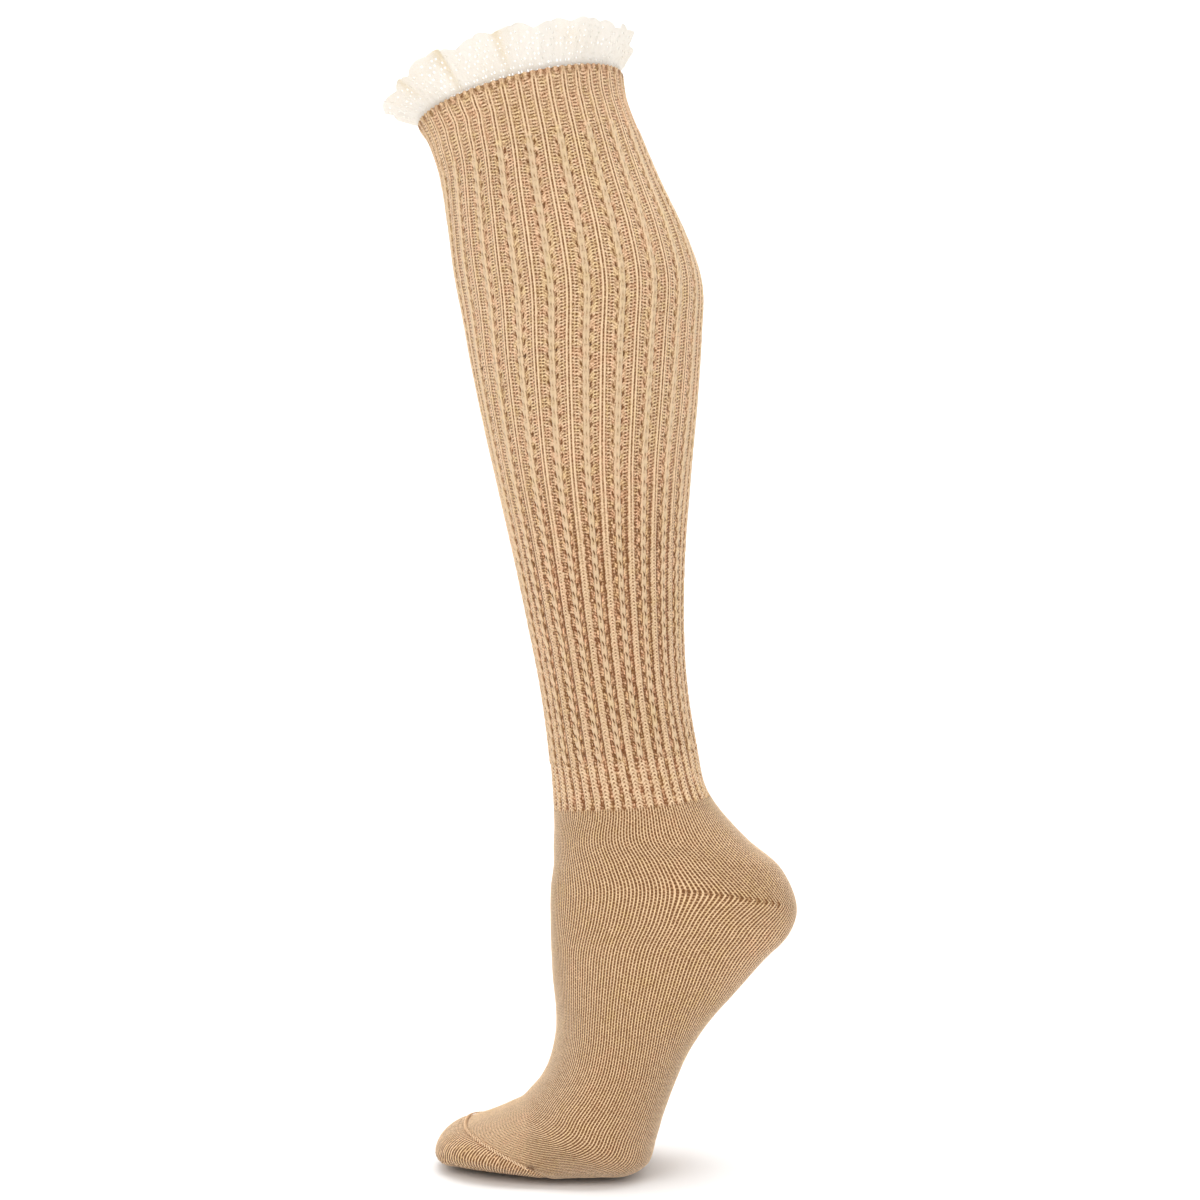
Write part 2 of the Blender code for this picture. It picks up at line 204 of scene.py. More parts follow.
# A soft trough or ridge in the cloth: its place along the sock and round it in wales from the front,
# its size, its slant from the wales in degrees, and its depth, less than 0 for a ridge. Millimetres.
Crease = namedtuple("Crease", "place wale length width slant depth")


def creases_at(points, creases):
    sunk = np.zeros(points.shape[:-1])
    for crease in creases:
        station, angle = np.array(crease.place * MM), np.array(crease.wale * 2 * math.pi / WALES)
        along, around = skin_slopes(station, angle)
        slant = math.radians(crease.slant)
        run = unit(along) * math.cos(slant) + unit(around) * math.sin(slant)
        offset = points - skin(station, angle)
        lengthwise = offset @ run
        across = np.linalg.norm(offset - lengthwise[..., None] * run, axis=-1)
        spread = (lengthwise / (crease.length / 2 * MM)) ** 2 + (across / (crease.width / 2 * MM)) ** 2
        sunk += crease.depth * np.exp(-spread)
    return sunk


# One repeat of the leg is four needles. Its columns of points lie close on the chain, at 0, and on the plain
# rib, at 2, and wider apart on the purl ground.
CHAIN_COLUMNS = np.linspace(-0.66, 0.66, 13)
PLAIN_RIB_COLUMNS = 2 + np.linspace(-0.6, 0.6, 9)
PURL_COLUMNS = np.array((0.88, 1.06, 1.24))
REPEAT = np.concatenate((CHAIN_COLUMNS, PURL_COLUMNS, PLAIN_RIB_COLUMNS, 4 - PURL_COLUMNS[::-1]))
RIBBED_WALES = (np.arange(WALES // 4)[:, None] * 4 + REPEAT).ravel()


def cloth_grid(stations, wales):
    """Points of the skin on a grid of stations and wales, with what the knitting needs to know at each."""
    angles = wale_angles(stations, wales)
    places = np.broadcast_to(stations[:, None], angles.shape)
    along, around = skin_slopes(places, angles)
    turned = wale_angles(stations, wales + 0.25) - wale_angles(stations, wales - 0.25)
    zeros = np.zeros(angles.shape)
    return {
        "point": skin(places, angles),
        "outward": unit(np.cross(along, around)),
        "up": -unit(along),
        "wale": zeros + wales,
        "gauge": np.linalg.norm(around, axis=-1) * turned * 2 / MM,
        "sunk": zeros,
        "hole": zeros,
        "fine": zeros,
        "chain": zeros,
        "plain": zeros,
        "level": zeros + 0.6,
        "face": zeros + 1,
    }


def ring_quads(rows, columns):
    row, column = np.meshgrid(np.arange(rows - 1), np.arange(columns), indexing="ij")
    right = (column + 1) % columns
    upper = row * columns
    lower = (row + 1) * columns
    quads = (upper + column, upper + right, lower + right, lower + column)
    return np.stack(quads, axis=-1).reshape(-1, 4)


def edge_triangles(many, few, flip):
    """Triangles between an edge ring and a ring with a whole fraction of its points."""
    ratio = len(many) // len(few)
    triangles = []
    for i in range(len(few)):
        here, after = few[i], few[(i + 1) % len(few)]
        for k in range(ratio):
            corner = here if k < ratio // 2 else after
            triangles.append((many[ratio * i + k], many[(ratio * i + k + 1) % len(many)], corner))
        triangles.append((many[ratio * i + ratio // 2], after, here))
    triangles = np.array(triangles)
    return triangles[:, ::-1] if flip else triangles


def store_at_points(mesh, key, values):
    """A number or a direction for each point of a mesh, for the node trees to read."""
    kind, field = ("FLOAT_VECTOR", "vector") if values.ndim == 2 else ("FLOAT", "value")
    mesh.attributes.new(key, kind, "POINT").data.foreach_set(field, values.astype(np.float32).ravel())


def linked(name, data):
    """A new object in the scene."""
    made = bpy.data.objects.new(name, data)
    bpy.context.scene.collection.objects.link(made)
    return made


def cloth_object(name, points, quads, triangles, knit, numbers, edge_count):
    """An object from arrays. knit is the knitting's own map of wale and course, for each corner of a face."""
    mesh = bpy.data.meshes.new(name)
    corners = np.concatenate((quads.ravel(), triangles.ravel())).astype(np.int32)
    sizes = np.concatenate((np.full(len(quads), 4), np.full(len(triangles), 3)))
    starts = np.concatenate(([0], np.cumsum(sizes)[:-1])).astype(np.int32)
    mesh.vertices.add(len(points))
    mesh.vertices.foreach_set("co", points.astype(np.float32).ravel())
    mesh.loops.add(len(corners))
    mesh.loops.foreach_set("vertex_index", corners)
    mesh.polygons.add(len(sizes))
    mesh.polygons.foreach_set("loop_start", starts)
    mesh.update(calc_edges=True)
    rounded = np.ones(len(sizes), bool)
    rounded[len(quads) : len(quads) + edge_count] = False
    mesh.polygons.foreach_set("use_smooth", rounded)
    mesh.uv_layers.new(name="knit").data.foreach_set("uv", knit.astype(np.float32).ravel())
    for key, values in numbers.items():
        store_at_points(mesh, key, values)
    return linked(name, mesh)


INNER_GAUGE = 2.5  # mm for each wale on the inside, as the finish sees it


def knitted_tube(name, outer, inner_stations, inner_depth, tip=None):
    """A closed wall of cloth from the grid of its outside. The inside is plainer, with one column a wale."""
    rows, columns = outer["wale"].shape
    count = rows * columns
    inner = cloth_grid(inner_stations, np.arange(WALES))
    inner_rows = len(inner_stations)
    outer_quads = ring_quads(rows, columns)
    inner_quads = ring_quads(inner_rows, WALES)[:, ::-1] + count
    last_outer = count - columns + np.arange(columns)
    last_inner = count + (inner_rows - 1) * WALES + np.arange(WALES)
    inner_points = inner["point"] - inner["outward"] * inner_depth
    points = [outer["point"].reshape(-1, 3), inner_points.reshape(-1, 3)]
    triangles = [edge_triangles(np.arange(columns), count + np.arange(WALES), flip=False)]
    if tip is None:
        triangles.append(edge_triangles(last_outer, last_inner, flip=True))
    edge_count = sum(len(edge) for edge in triangles)
    if tip is not None:
        points.append(np.array(tip))
        tips = count + inner_rows * WALES + np.arange(2)[:, None]
        outer_tip = np.broadcast_to(tips[0], columns)
        inner_tip = np.broadcast_to(tips[1], WALES)
        triangles.append(np.stack((outer_tip, last_outer, np.roll(last_outer, -1)), axis=-1))
        triangles.append(np.stack((inner_tip, np.roll(last_inner, -1), last_inner), axis=-1))
    points = np.concatenate(points)
    quads = np.concatenate((outer_quads, inner_quads))
    triangles = np.concatenate(triangles)

    def filled(values, rest=0.0):
        """Values for the first points, and the same one for the rest."""
        return np.concatenate((values, np.full(len(points) - len(values), rest)))

    # A face reads the course of its lower points as seen from above, or from below where the two differ.
    above = outer["course"].ravel()
    below = outer.get("course_below", outer["course"]).ravel()
    upper_row = np.repeat(np.arange(rows - 1), columns)[:, None]
    outer_course = np.where(outer_quads // columns == upper_row, below[outer_quads], above[outer_quads])
    inner_course = np.repeat(inner_stations / COURSE, WALES)
    plain_course = filled(np.concatenate((above, inner_course)))
    others = np.concatenate((inner_quads.ravel(), triangles.ravel()))
    wale_map = filled(np.concatenate((outer["wale"].ravel(), inner["wale"].ravel())))
    wale = wale_map[np.concatenate((outer_quads.ravel(), others))]
    quad_wale = wale[: 4 * len(quads)].reshape(-1, 4)
    quad_wale[quad_wale.max(axis=1, keepdims=True) - quad_wale > WALES / 2] += WALES
    knit = np.stack((wale, np.concatenate((outer_course.ravel(), plain_course[others]))), axis=-1)

    keys = ("wale", "sunk", "hole", "fine", "chain", "plain", "level", "face")
    numbers = {key: filled(outer[key].ravel()) for key in keys}
    numbers["gauge"] = filled(outer["gauge"].ravel(), INNER_GAUGE)
    numbers["course"] = plain_course
    numbers["outward"] = np.zeros((len(points), 3))
    numbers["outward"][:count] = outer["outward"].reshape(-1, 3)
    return cloth_object(name, points, quads, triangles, knit, numbers, edge_count)


class Field:
    """A number that changes over the cloth, inside a node tree. Sums of fields make the tree's Math nodes."""

    def __init__(self, tree, socket):
        self.tree = tree
        self.socket = socket

    def __getitem__(self, label):
        """Another output of the same node."""
        return Field(self.tree, self.socket.node.outputs[label])

    def math(self, operation, *others):
        return add_node(self.tree, "ShaderNodeMath", (self, *others), operation=operation)

    def __add__(self, other):
        return self.math("ADD", other)

    def __mul__(self, other):
        return self.math("MULTIPLY", other)

    __radd__ = __add__
    __rmul__ = __mul__

    def __sub__(self, other):
        return self.math("SUBTRACT", other)

    def __rsub__(self, other):
        return self * -1.0 + other

    def __truediv__(self, other):
        return self.math("DIVIDE", other)

    def __abs__(self):
        return self.math("ABSOLUTE")

    def most(self, other):
        return self.math("MAXIMUM", other)

    def ramp(self, start, end):
        """0 before start, 1 after end, and a soft step between them."""
        inputs = (self, start, end, 0.0, 1.0)
        return add_node(self.tree, "ShaderNodeMapRange", inputs, interpolation_type="SMOOTHSTEP")

    def fade(self, start, end):
        """1 before start, 0 after end, and a soft step between them."""
        return 1 - self.ramp(start, end)

    def hill(self, middle, half_width, flat=0.0):
        """1 at the middle, falling softly to 0 on both sides."""
        return abs(self - middle).fade(flat, half_width)

    def wave(self):
        """A cosine for each whole number, from 1 at the number to -1 half way to the next."""
        return (self * (2 * math.pi)).math("COSINE")

    def mix(self, other, share):
        return self + (other - self) * share


def plug(tree, value, slot):
    if isinstance(value, Field):
        tree.links.new(value.socket, slot)
    else:
        slot.default_value = value


def fill(tree, node, inputs):
    """Sets a node's inputs to values or fields, given by their names or in their order."""
    for key, value in inputs.items() if isinstance(inputs, dict) else enumerate(inputs):
        plug(tree, value, node.inputs[key])


def add_node(tree, kind, inputs=(), output=0, **settings):
    """Adds a node and returns one of its outputs."""
    node = tree.nodes.new(kind)
    for name, value in settings.items():
        setattr(node, name, value)
    fill(tree, node, inputs)
    return Field(tree, node.outputs[output])


SOCKET_KINDS = {"Geometry": "Geometry", "Position": "Vector", "Yarn": "Material"}  # the others are numbers


def new_tree(name, kind, inputs, outputs):
    """A node group with named sockets. Returns it with its inputs as fields and its output node."""
    tree = bpy.data.node_groups.new(name, kind)
    for in_out, sockets in (("INPUT", inputs), ("OUTPUT", dict.fromkeys(outputs))):
        for label, default in sockets.items():
            socket_kind = SOCKET_KINDS.get(label, "Int" if isinstance(default, int) else "Float")
            socket = tree.interface.new_socket(label, in_out=in_out, socket_type="NodeSocket" + socket_kind)
            if default is not None:
                socket.default_value = default
    source = tree.nodes.new("NodeGroupInput")
    fields = {label: Field(tree, source.outputs[label]) for label in inputs}
    return tree, fields, tree.nodes.new("NodeGroupOutput")


def named(tree, name, kind="FLOAT"):
    """What is stored at the points under a name."""
    inputs = {"Name": name}
    return add_node(tree, "GeometryNodeInputNamedAttribute", inputs, "Attribute", data_type=kind)


COURSES_PER_LINK = 4.0  # the chain twists every fourth row
UNEVEN_SCALE = 140.0  # soft bumps for each metre of the cloth
OPEN_GAUGE = (2.7, 3.7)  # mm for each wale where the knitting is relaxed, and where it is stretched wide


def chain_strands(course, opened):
    """How far a link has turned, and how many mm its rising and its sinking strand lie from the middle."""
    turn = (course / COURSES_PER_LINK).math("FRACT")
    spread = 1 + 0.25 * opened
    return turn, spread * (0.05 + 0.75 * turn), spread * (0.8 + 0.15 * turn)


def past_chain(wale):
    """1 on the side of a chain where the wales count up, and 0 on the other."""
    return wale.math("WRAP", 2.0, -2.0).math("GREATER_THAN", 0.0)


def distances(wale, gauge):
    """How many mm away the middles of the nearest chain and of the nearest plain rib are."""
    from_chain = wale.math("PINGPONG", 2.0)
    return from_chain * gauge, (2 - from_chain) * gauge


def knitting_tree():
    """Raises ribs, chains and wales from a smooth wall, all in millimetres above the purl ground."""
    sizes = {
        "Geometry": None,
        "Rib Height": 0.8,
        "Chain Height": 1.25,
        "Plain Height": 0.85,
        "Leg Groove": 0.46,
        "Purl Bar": 0.13,
        "Unevenness": 0.1,
        "Ground Depth": GROUND_DEPTH,
    }
    tree, given, result = new_tree("knitting", "GeometryNodeTree", sizes, ["Geometry"])
    wale, course, gauge, chain, plain = (
        named(tree, key) for key in ("wale", "course", "gauge", "chain", "plain")
    )
    opened = gauge.ramp(*OPEN_GAUGE)
    bars = course.wave()

    def rib(away):
        edge = away + bars * 0.16 * (1 - opened)
        crown = edge.fade(0.95 + 0.1 * opened, 1.5 + 0.1 * opened)
        notch = away.fade(0.05, 0.65) * opened
        return given["Rib Height"] * (crown - 0.6 * notch) - bars * crown * 0.06

    def chain_link(away):
        turn, rising, sinking = chain_strands(course, opened)
        new = (0.72 + 0.28 * turn.ramp(0.0, 0.35)) * away.hill(rising, 0.62, 0.15)
        old = turn.fade(0.1, 0.65) * away.hill(sinking, 0.62, 0.15)
        between = 0.6 * away.fade(rising, rising + 0.3)
        return given["Chain Height"] * new.most(old).most(between)

    def beside_chain(away):
        edge = 1.45 + 0.25 * opened
        turn = ((course + 0.9 * (away - edge)) / COURSES_PER_LINK + 0.4 * past_chain(wale)).math("FRACT")
        return turn.hill(0.45, 0.36) * away.hill(edge + 0.45, 0.9)

    from_chain, from_rib = distances(wale, gauge)
    chain_or_rib = rib(from_chain).mix(chain_link(from_chain), chain)
    raised = chain_or_rib.most(rib(from_rib)).math("SMOOTH_MAX", given["Purl Bar"] * bars, 0.1)
    ribbed = raised - 0.75 * chain * beside_chain(from_chain)
    groove = (wale * 2.0).wave() * 0.5 + 0.5
    stockinette = given["Plain Height"] - given["Leg Groove"] * groove * (0.8 + 0.2 * bars)
    height = ribbed.mix(stockinette, plain)

    noise = add_node(tree, "ShaderNodeTexNoise", {"Scale": UNEVEN_SCALE, "Detail": 1.0})
    uneven = (noise - 0.5) * given["Unevenness"] * 2.0
    height = height.mix(named(tree, "level"), 1 - named(tree, "face")) + uneven - named(tree, "hole")
    lift = (height - given["Ground Depth"] - named(tree, "sunk")) * MM
    inputs = {"Geometry": given["Geometry"], "Name": "height", "Value": height}
    stored = add_node(tree, "GeometryNodeStoreNamedAttribute", inputs, data_type="FLOAT", domain="POINT")
    inputs = {0: named(tree, "outward", "FLOAT_VECTOR"), "Scale": lift}
    push = add_node(tree, "ShaderNodeVectorMath", inputs, operation="SCALE")
    moved = add_node(tree, "GeometryNodeSetPosition", {"Geometry": stored, "Offset": push})
    plug(tree, moved, result.inputs["Geometry"])
    return tree


def with_modifier(piece, modifier):
    """Gives the piece the plain mesh that a modifier makes of it."""
    graph = bpy.context.evaluated_depsgraph_get()
    shaped = bpy.data.meshes.new_from_object(piece.evaluated_get(graph))
    piece.modifiers.remove(modifier)
    old = piece.data
    piece.data = shaped
    bpy.data.meshes.remove(old)
    shaped.name = piece.name


def shaped_by(piece, tree, **sizes):
    """The piece as a plain mesh, after a node tree has shaped it with these sizes."""
    modifier = piece.modifiers.new(tree.name, "NODES")
    modifier.node_group = tree
    sockets = {item.name: item.identifier for item in tree.interface.items_tree if item.in_out == "INPUT"}
    for label, value in sizes.items():
        modifier[sockets[label]] = value
    with_modifier(piece, modifier)


def yarn_group():
    """Cotton yarn close to: fluff, spots of dye and wider patches, each a number round zero."""
    scales = {"Position": None, "Fibre Scale": 1500.0, "Dye Scale": 210.0, "Patch Scale": 28.0}
    tree, given, result = new_tree("cotton_yarn", "ShaderNodeTree", scales, ["Fluff", "Dye", "Patch"])
    layers = (("Fluff", "Fibre Scale", 3.0), ("Dye", "Dye Scale", 1.0), ("Patch", "Patch Scale", 2.0))
    for label, scale, detail in layers:
        inputs = {"Vector": given["Position"], "Scale": given[scale], "Detail": detail}
        noise = add_node(tree, "ShaderNodeTexNoise", inputs)
        plug(tree, (noise - 0.5) * 2.0, result.inputs[label])
    return tree


def stitch_group():
    """The stitches of the knitting on its own map: stacked V's on ribs and wales, small loops on the purl.
    The tone holds painted shade in the gaps, grooves and holes between the strands.
    """
    inputs = {"Wale": 0.0, "Course": 0.0, "Gauge": 2.5, "Height": 0.5, "Chain": 0.0, "Plain": 0.0}
    outputs = ["Tone", "Relief", "Ground", "Ribbon"]
    tree, given, result = new_tree("knit_stitches", "ShaderNodeTree", inputs, outputs)
    wale, gauge, height, chain, plain = (given[key] for key in ("Wale", "Gauge", "Height", "Chain", "Plain"))

    def on_map(kind, across, along, **sizes):
        """A number round zero from a place on the knitting's map."""
        place = add_node(tree, "ShaderNodeCombineXYZ", (across, along))
        return (add_node(tree, kind, {"Vector": place, **sizes}) - 0.5) * 2.0

    drift = on_map("ShaderNodeTexNoise", wale * 1.3, given["Course"] * 0.45, Scale=1.0, Detail=1.0)
    course = given["Course"] + drift * 0.35
    stitch_place = (wale * 4.0).math("ROUND"), course.math("ROUND")
    uneven = on_map("ShaderNodeTexWhiteNoise", *stitch_place)  # from stitch to stitch

    def dot(across, along, width, length):
        """A round spot, 1 in its middle. The sizes are its half width and half length in millimetres."""
        down = ((course - along + 0.5).math("FRACT") - 0.5) * (COURSE / MM)
        spread = (across / width).math("POWER", 2.0) + (down / length).math("POWER", 2.0)
        return spread.fade(0.35, 1.5)

    opened = gauge.ramp(*OPEN_GAUGE)
    from_chain, from_rib = distances(wale, gauge)
    near = wale.math("PINGPONG", 1.0) * gauge  # mm from the middle of the nearest rib of a 1x1 rib

    # The dark split between the two strands of an opened rib is painted shade.
    split = near.fade(0.15, 0.55) * (0.45 + 0.25 * course.wave() + 0.4 * drift)
    open_rib = 0.5 + 0.62 * near.hill(0.85, 0.6) - split
    chevron = (course - near * 0.5).wave()
    # The dark eye under each V of a closed rib is painted shade.
    eye = dot(near, 0.5, 0.5, 0.4)
    closed_rib = 0.76 + (0.16 - 0.06 * chain) * chevron - (0.62 - 0.2 * chain + 0.5 * uneven) * eye
    rib_tone = closed_rib.mix(open_rib, opened) + 0.12 * uneven
    rib_relief = (0.3 * chevron - 0.6 * eye) * (1 - 0.5 * opened)
    poke = (0.14 - 0.04 * chain) * chevron * (1 - opened) + 0.16 * uneven + 0.3 * drift * (1 - opened)
    by_chain = from_chain.fade(1.9, 2.1) * (1 - chain)
    on_rib = from_rib.fade(1.9, 2.1).most(by_chain) * (near - poke).fade(1.25, 1.75)

    across = near.mix(from_rib, chain) / gauge  # 0 on the rib's middle, 1 on the purl's middle
    beyond = (across - 1.0).most(0.0) * gauge
    bar = (course - 0.5 * beyond).wave()
    side_loops = dot((across - 0.44) * gauge, 0.2, 0.56, 0.4)
    middle_loops = dot((across - 0.87) * gauge, 0.5, 0.56, 0.4)
    # The dark dots between the purl loops are painted shade.
    loops = side_loops.most(middle_loops) * (1 + 0.85 * uneven) * (0.45 + 0.55 * chain)
    open_purl = 0.64 + 0.16 * bar + 0.18 * uneven - 1.05 * loops
    pink_side = across.hill(1.3, 0.5) * chain
    beside_rib = across.hill(0.7, 0.22)
    before_rib = past_chain(wale) * chain
    # The narrow ground between closed ribs is dark with painted shade, darkest beside the rib.
    closed_before = 0.16 + 0.55 * pink_side - 0.5 * beside_rib + 0.12 * bar + 0.25 * uneven
    closed_after = 0.2 + 0.4 * pink_side - 0.15 * beside_rib + 0.22 * bar + 0.42 * uneven
    closed_purl = closed_after.mix(closed_before, before_rib)
    # Painted shade in the hollows beside the chain, where the cloth lies low.
    hollow_shade = height.fade(-0.45, 0.0) * chain
    purl_tone = closed_purl.mix(open_purl, opened) - 0.7 * hollow_shade
    purl_relief = 0.35 * bar - 0.8 * loops

    turn, rising, sinking = chain_strands(given["Course"], opened)
    old = from_chain.hill(sinking, 0.55, 0.15) * turn.fade(0.3, 0.7)
    strand = from_chain.hill(rising, 0.55, 0.15).most(old)
    leaned = abs(wale.math("WRAP", 2.0, -2.0) * gauge - 2.2 * (turn - 0.6))
    # The dark slit in each link and the dark edge just beyond the chain are painted shade.
    slit = leaned.fade(0.2, 0.5) * turn.hill(0.6, 0.3)
    beyond_chain = from_chain - rising.most(sinking * turn.fade(0.45, 0.75))
    fibres = (from_chain * 2.2 - turn * 1.9).wave()
    chain_tone = (0.5 + 0.5 * strand).mix(0.78 + 0.4 * strand, opened) + 0.1 * fibres
    chain_tone = chain_tone - (1.25 - 0.85 * opened) * slit + 0.12 * drift
    chain_tone = chain_tone - 0.5 * beyond_chain.ramp(0.25, 0.5)
    chain_relief = 0.3 * fibres + 0.4 * strand - (1.0 - 0.6 * opened) * slit
    on_chain = chain * beyond_chain.fade(0.5, 0.75)

    # Painted shade in the grooves between the plain wales and in the holes between the stitches.
    groove = ((wale * 2.0).wave() * 0.5 + 0.5).ramp(0.1, 0.75)
    hole = (course + 0.5 * (wale * 2.0 + 0.5).math("FLOOR")).wave() * 0.5 + 0.5
    plain_tone = 0.9 - groove * (0.56 + 1.3 * hole) * (0.9 + 0.1 * wale.wave()) + 0.12 * uneven
    plain_relief = 0.7 - groove * (0.6 + 0.8 * hole)

    ribbed_tone = purl_tone.mix(rib_tone, on_rib).mix(chain_tone, on_chain)
    ribbed_relief = purl_relief.mix(rib_relief, on_rib).mix(chain_relief, on_chain)
    # The rolled edge is painted darker, with painted shade in the gaps between its small loops.
    rim_loop = wale.wave() * 0.5 + 0.5
    rim = given["Course"].fade(0.5, 1.8) * (1 - plain)
    ribbed_tone = ribbed_tone.mix(0.1 + 0.6 * rim_loop.ramp(0.3, 0.9), rim * 0.8)
    # On the plain knitting the tone falls with painted shade where the cloth lies low: the suture's holes,
    # the puckers and the groove above the toe seam.
    shown = {
        "Tone": ribbed_tone.mix(plain_tone, plain) - 0.55 * (height.fade(-0.15, 0.35) * plain),
        "Relief": ribbed_relief.mix(plain_relief, plain),
        "Ground": 1 - on_rib.most(on_chain).most(plain),
        "Ribbon": on_chain * (0.3 + 0.7 * opened),
    }
    fill(tree, result, shown)
    return tree


YARN = yarn_group()
STITCHES = stitch_group()
KNITTING = knitting_tree()

CAMEL_PAINTED_SHADE = (0.20, 0.088, 0.03)  # painted shade between the strands
CAMEL_MIDDLE = (0.56, 0.35, 0.195)
CAMEL_LIGHT = (0.86, 0.625, 0.40)  # the crown of a strand
ROSE_TINT = (1.03, 0.95, 0.94)  # the dye leans to rose in places, and to hay in others
HAY_TINT = (1.0, 1.01, 0.90)
VALLEY_PAINTED_SHADE_TINT = (1.03, 0.95, 0.91)  # painted warm shade between the closed ribs
FOOT_TINT = (0.99, 0.945, 0.875)  # plain knitting lies closer, and is deeper
CHAIN_TINT = (1.0, 1.01, 1.0)  # the chain lies on top, and is a little less warm


def cotton_yarn(tree, **scales):
    """The yarn's fluff, dye and patches at each point of the cloth."""
    position = add_node(tree, "ShaderNodeTexCoord", output="Object")
    return add_node(tree, "ShaderNodeGroup", {"Position": position, **scales}, node_tree=YARN)


def attribute(tree, name):
    return add_node(tree, "ShaderNodeAttribute", output="Fac", attribute_name=name)


def on_cloth_map(tree, name):
    """The place on one of the cloth's own maps, as X and Y."""
    place = add_node(tree, "ShaderNodeUVMap", uv_map=name)
    return add_node(tree, "ShaderNodeSeparateXYZ", (place,))


def mixed(tree, share, first, second, how="MIX"):
    """A mix of two colours, each a plain one or a field. MULTIPLY tints the first with the second."""
    first, second = (colour if isinstance(colour, Field) else (*colour, 1.0) for colour in (first, second))
    inputs = {"Factor": share, 6: first, 7: second}
    return add_node(tree, "ShaderNodeMix", inputs, 2, data_type="RGBA", blend_type=how)


def cotton_material(name, sheen, sheen_tint):
    """An empty cotton finish: matt, with a soft paler nap. Returns it with its tree and its shader."""
    material = bpy.data.materials.new(name)
    material.use_nodes = True
    tree = material.node_tree
    shader = tree.nodes["Principled BSDF"]
    looks = {
        "Roughness": 0.86,
        "Specular IOR Level": 0.25,
        "Sheen Weight": sheen,
        "Sheen Roughness": 0.45,
        "Sheen Tint": (*sheen_tint, 1.0),
    }
    fill(tree, shader, looks)
    return material, tree, shader


def coloured(tree, shader, colour, height, distance, strength):
    """Gives a finish its colour and its relief."""
    inputs = {"Height": height, "Distance": distance, "Strength": strength}
    fill(tree, shader, {"Base Color": colour, "Normal": add_node(tree, "ShaderNodeBump", inputs)})


def camel_knit():
    material, tree, shader = cotton_material("camel_cotton_knit", 0.4, (1.0, 0.9, 0.78))
    place = on_cloth_map(tree, "knit")
    yarn = cotton_yarn(tree)
    inputs = {"Wale": place["X"], "Course": place["Y"]}
    for key in ("gauge", "height", "chain", "plain"):
        inputs[key.title()] = attribute(tree, key)
    stitches = add_node(tree, "ShaderNodeGroup", inputs, node_tree=STITCHES)
    fluff, patch, ground = yarn["Fluff"], yarn["Patch"], stitches["Ground"]
    fine = attribute(tree, "fine")
    # Over the toes, where fine is above 0, the stitches are calmer and painted lighter, as painted light on
    # the top of the foot. Below 0, on the toe cap and towards the bottom of the ball, the grooves show more
    # and the knit is darker.
    tone = (stitches["Tone"] - 0.6) * (1 - 0.4 * fine) + 0.6 + 0.1 * fine
    tone = tone + fluff * (0.55 + 0.4 * ground) + patch * 0.08
    hue = yarn["Dye"] * (0.6 + 1.4 * ground) + patch * 0.6
    closed = inputs["Gauge"].fade(*OPEN_GAUGE)
    # The knit's tone runs from painted shade between the strands, through the yarn's middle, up to the crowns
    # of the strands.
    colour = mixed(tree, tone.ramp(-0.1, 0.6), CAMEL_PAINTED_SHADE, CAMEL_MIDDLE)
    colour = mixed(tree, tone.ramp(0.4, 1.05), colour, CAMEL_LIGHT)
    tints = (
        (ROSE_TINT, hue.ramp(0.0, 0.6)),
        (HAY_TINT, hue.ramp(0.0, -0.6)),
        # painted warm shade in the grooves between the closed ribs
        (VALLEY_PAINTED_SHADE_TINT, ground * closed),
        (CHAIN_TINT, stitches["Ribbon"]),
        (FOOT_TINT, inputs["Plain"]),
    )
    for tint, share in tints:
        colour = mixed(tree, share, colour, tint, "MULTIPLY")
    coloured(tree, shader, colour, stitches["Relief"] + fluff * 0.35, 0.35 * MM, 0.8)
    plug(tree, 0.8 + fluff * 0.08, shader.inputs["Roughness"])
    return material


CAMEL_KNIT = camel_knit()
KNIT_STRETCH = 1.3  # how much wider the cloth is on the leg than as it is knitted
# In metres: girth is the mean way round on the leg, length runs along the wales, and area is as knitted.
SockPiece = namedtuple("SockPiece", "name node girth length inner_rows inner_depth area", defaults=(None,))


def make_piece(piece, grid, rows, tip=None):
    """A piece of the sock as the cloth that stands for a CAD node."""
    inner = np.linspace(rows[0], rows[-1], piece.inner_rows)
    cloth = knitted_tube(piece.name, grid, inner, piece.inner_depth, tip)
    shaped_by(cloth, KNITTING)
    cloth.data.materials.clear()
    cloth.data.materials.append(CAMEL_KNIT)
    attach(cloth, "root")
    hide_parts(piece.node)
    piece.girth / KNIT_STRETCH


def course_rows(start, end, rows_per_course, pitch=COURSE):
    """Rows of points between two stations, with a whole number of knitted rows, and how many these are."""
    courses = round((STATION[end] - STATION[start]) / pitch)
    return np.linspace(STATION[start], STATION[end], courses * rows_per_course + 1), courses


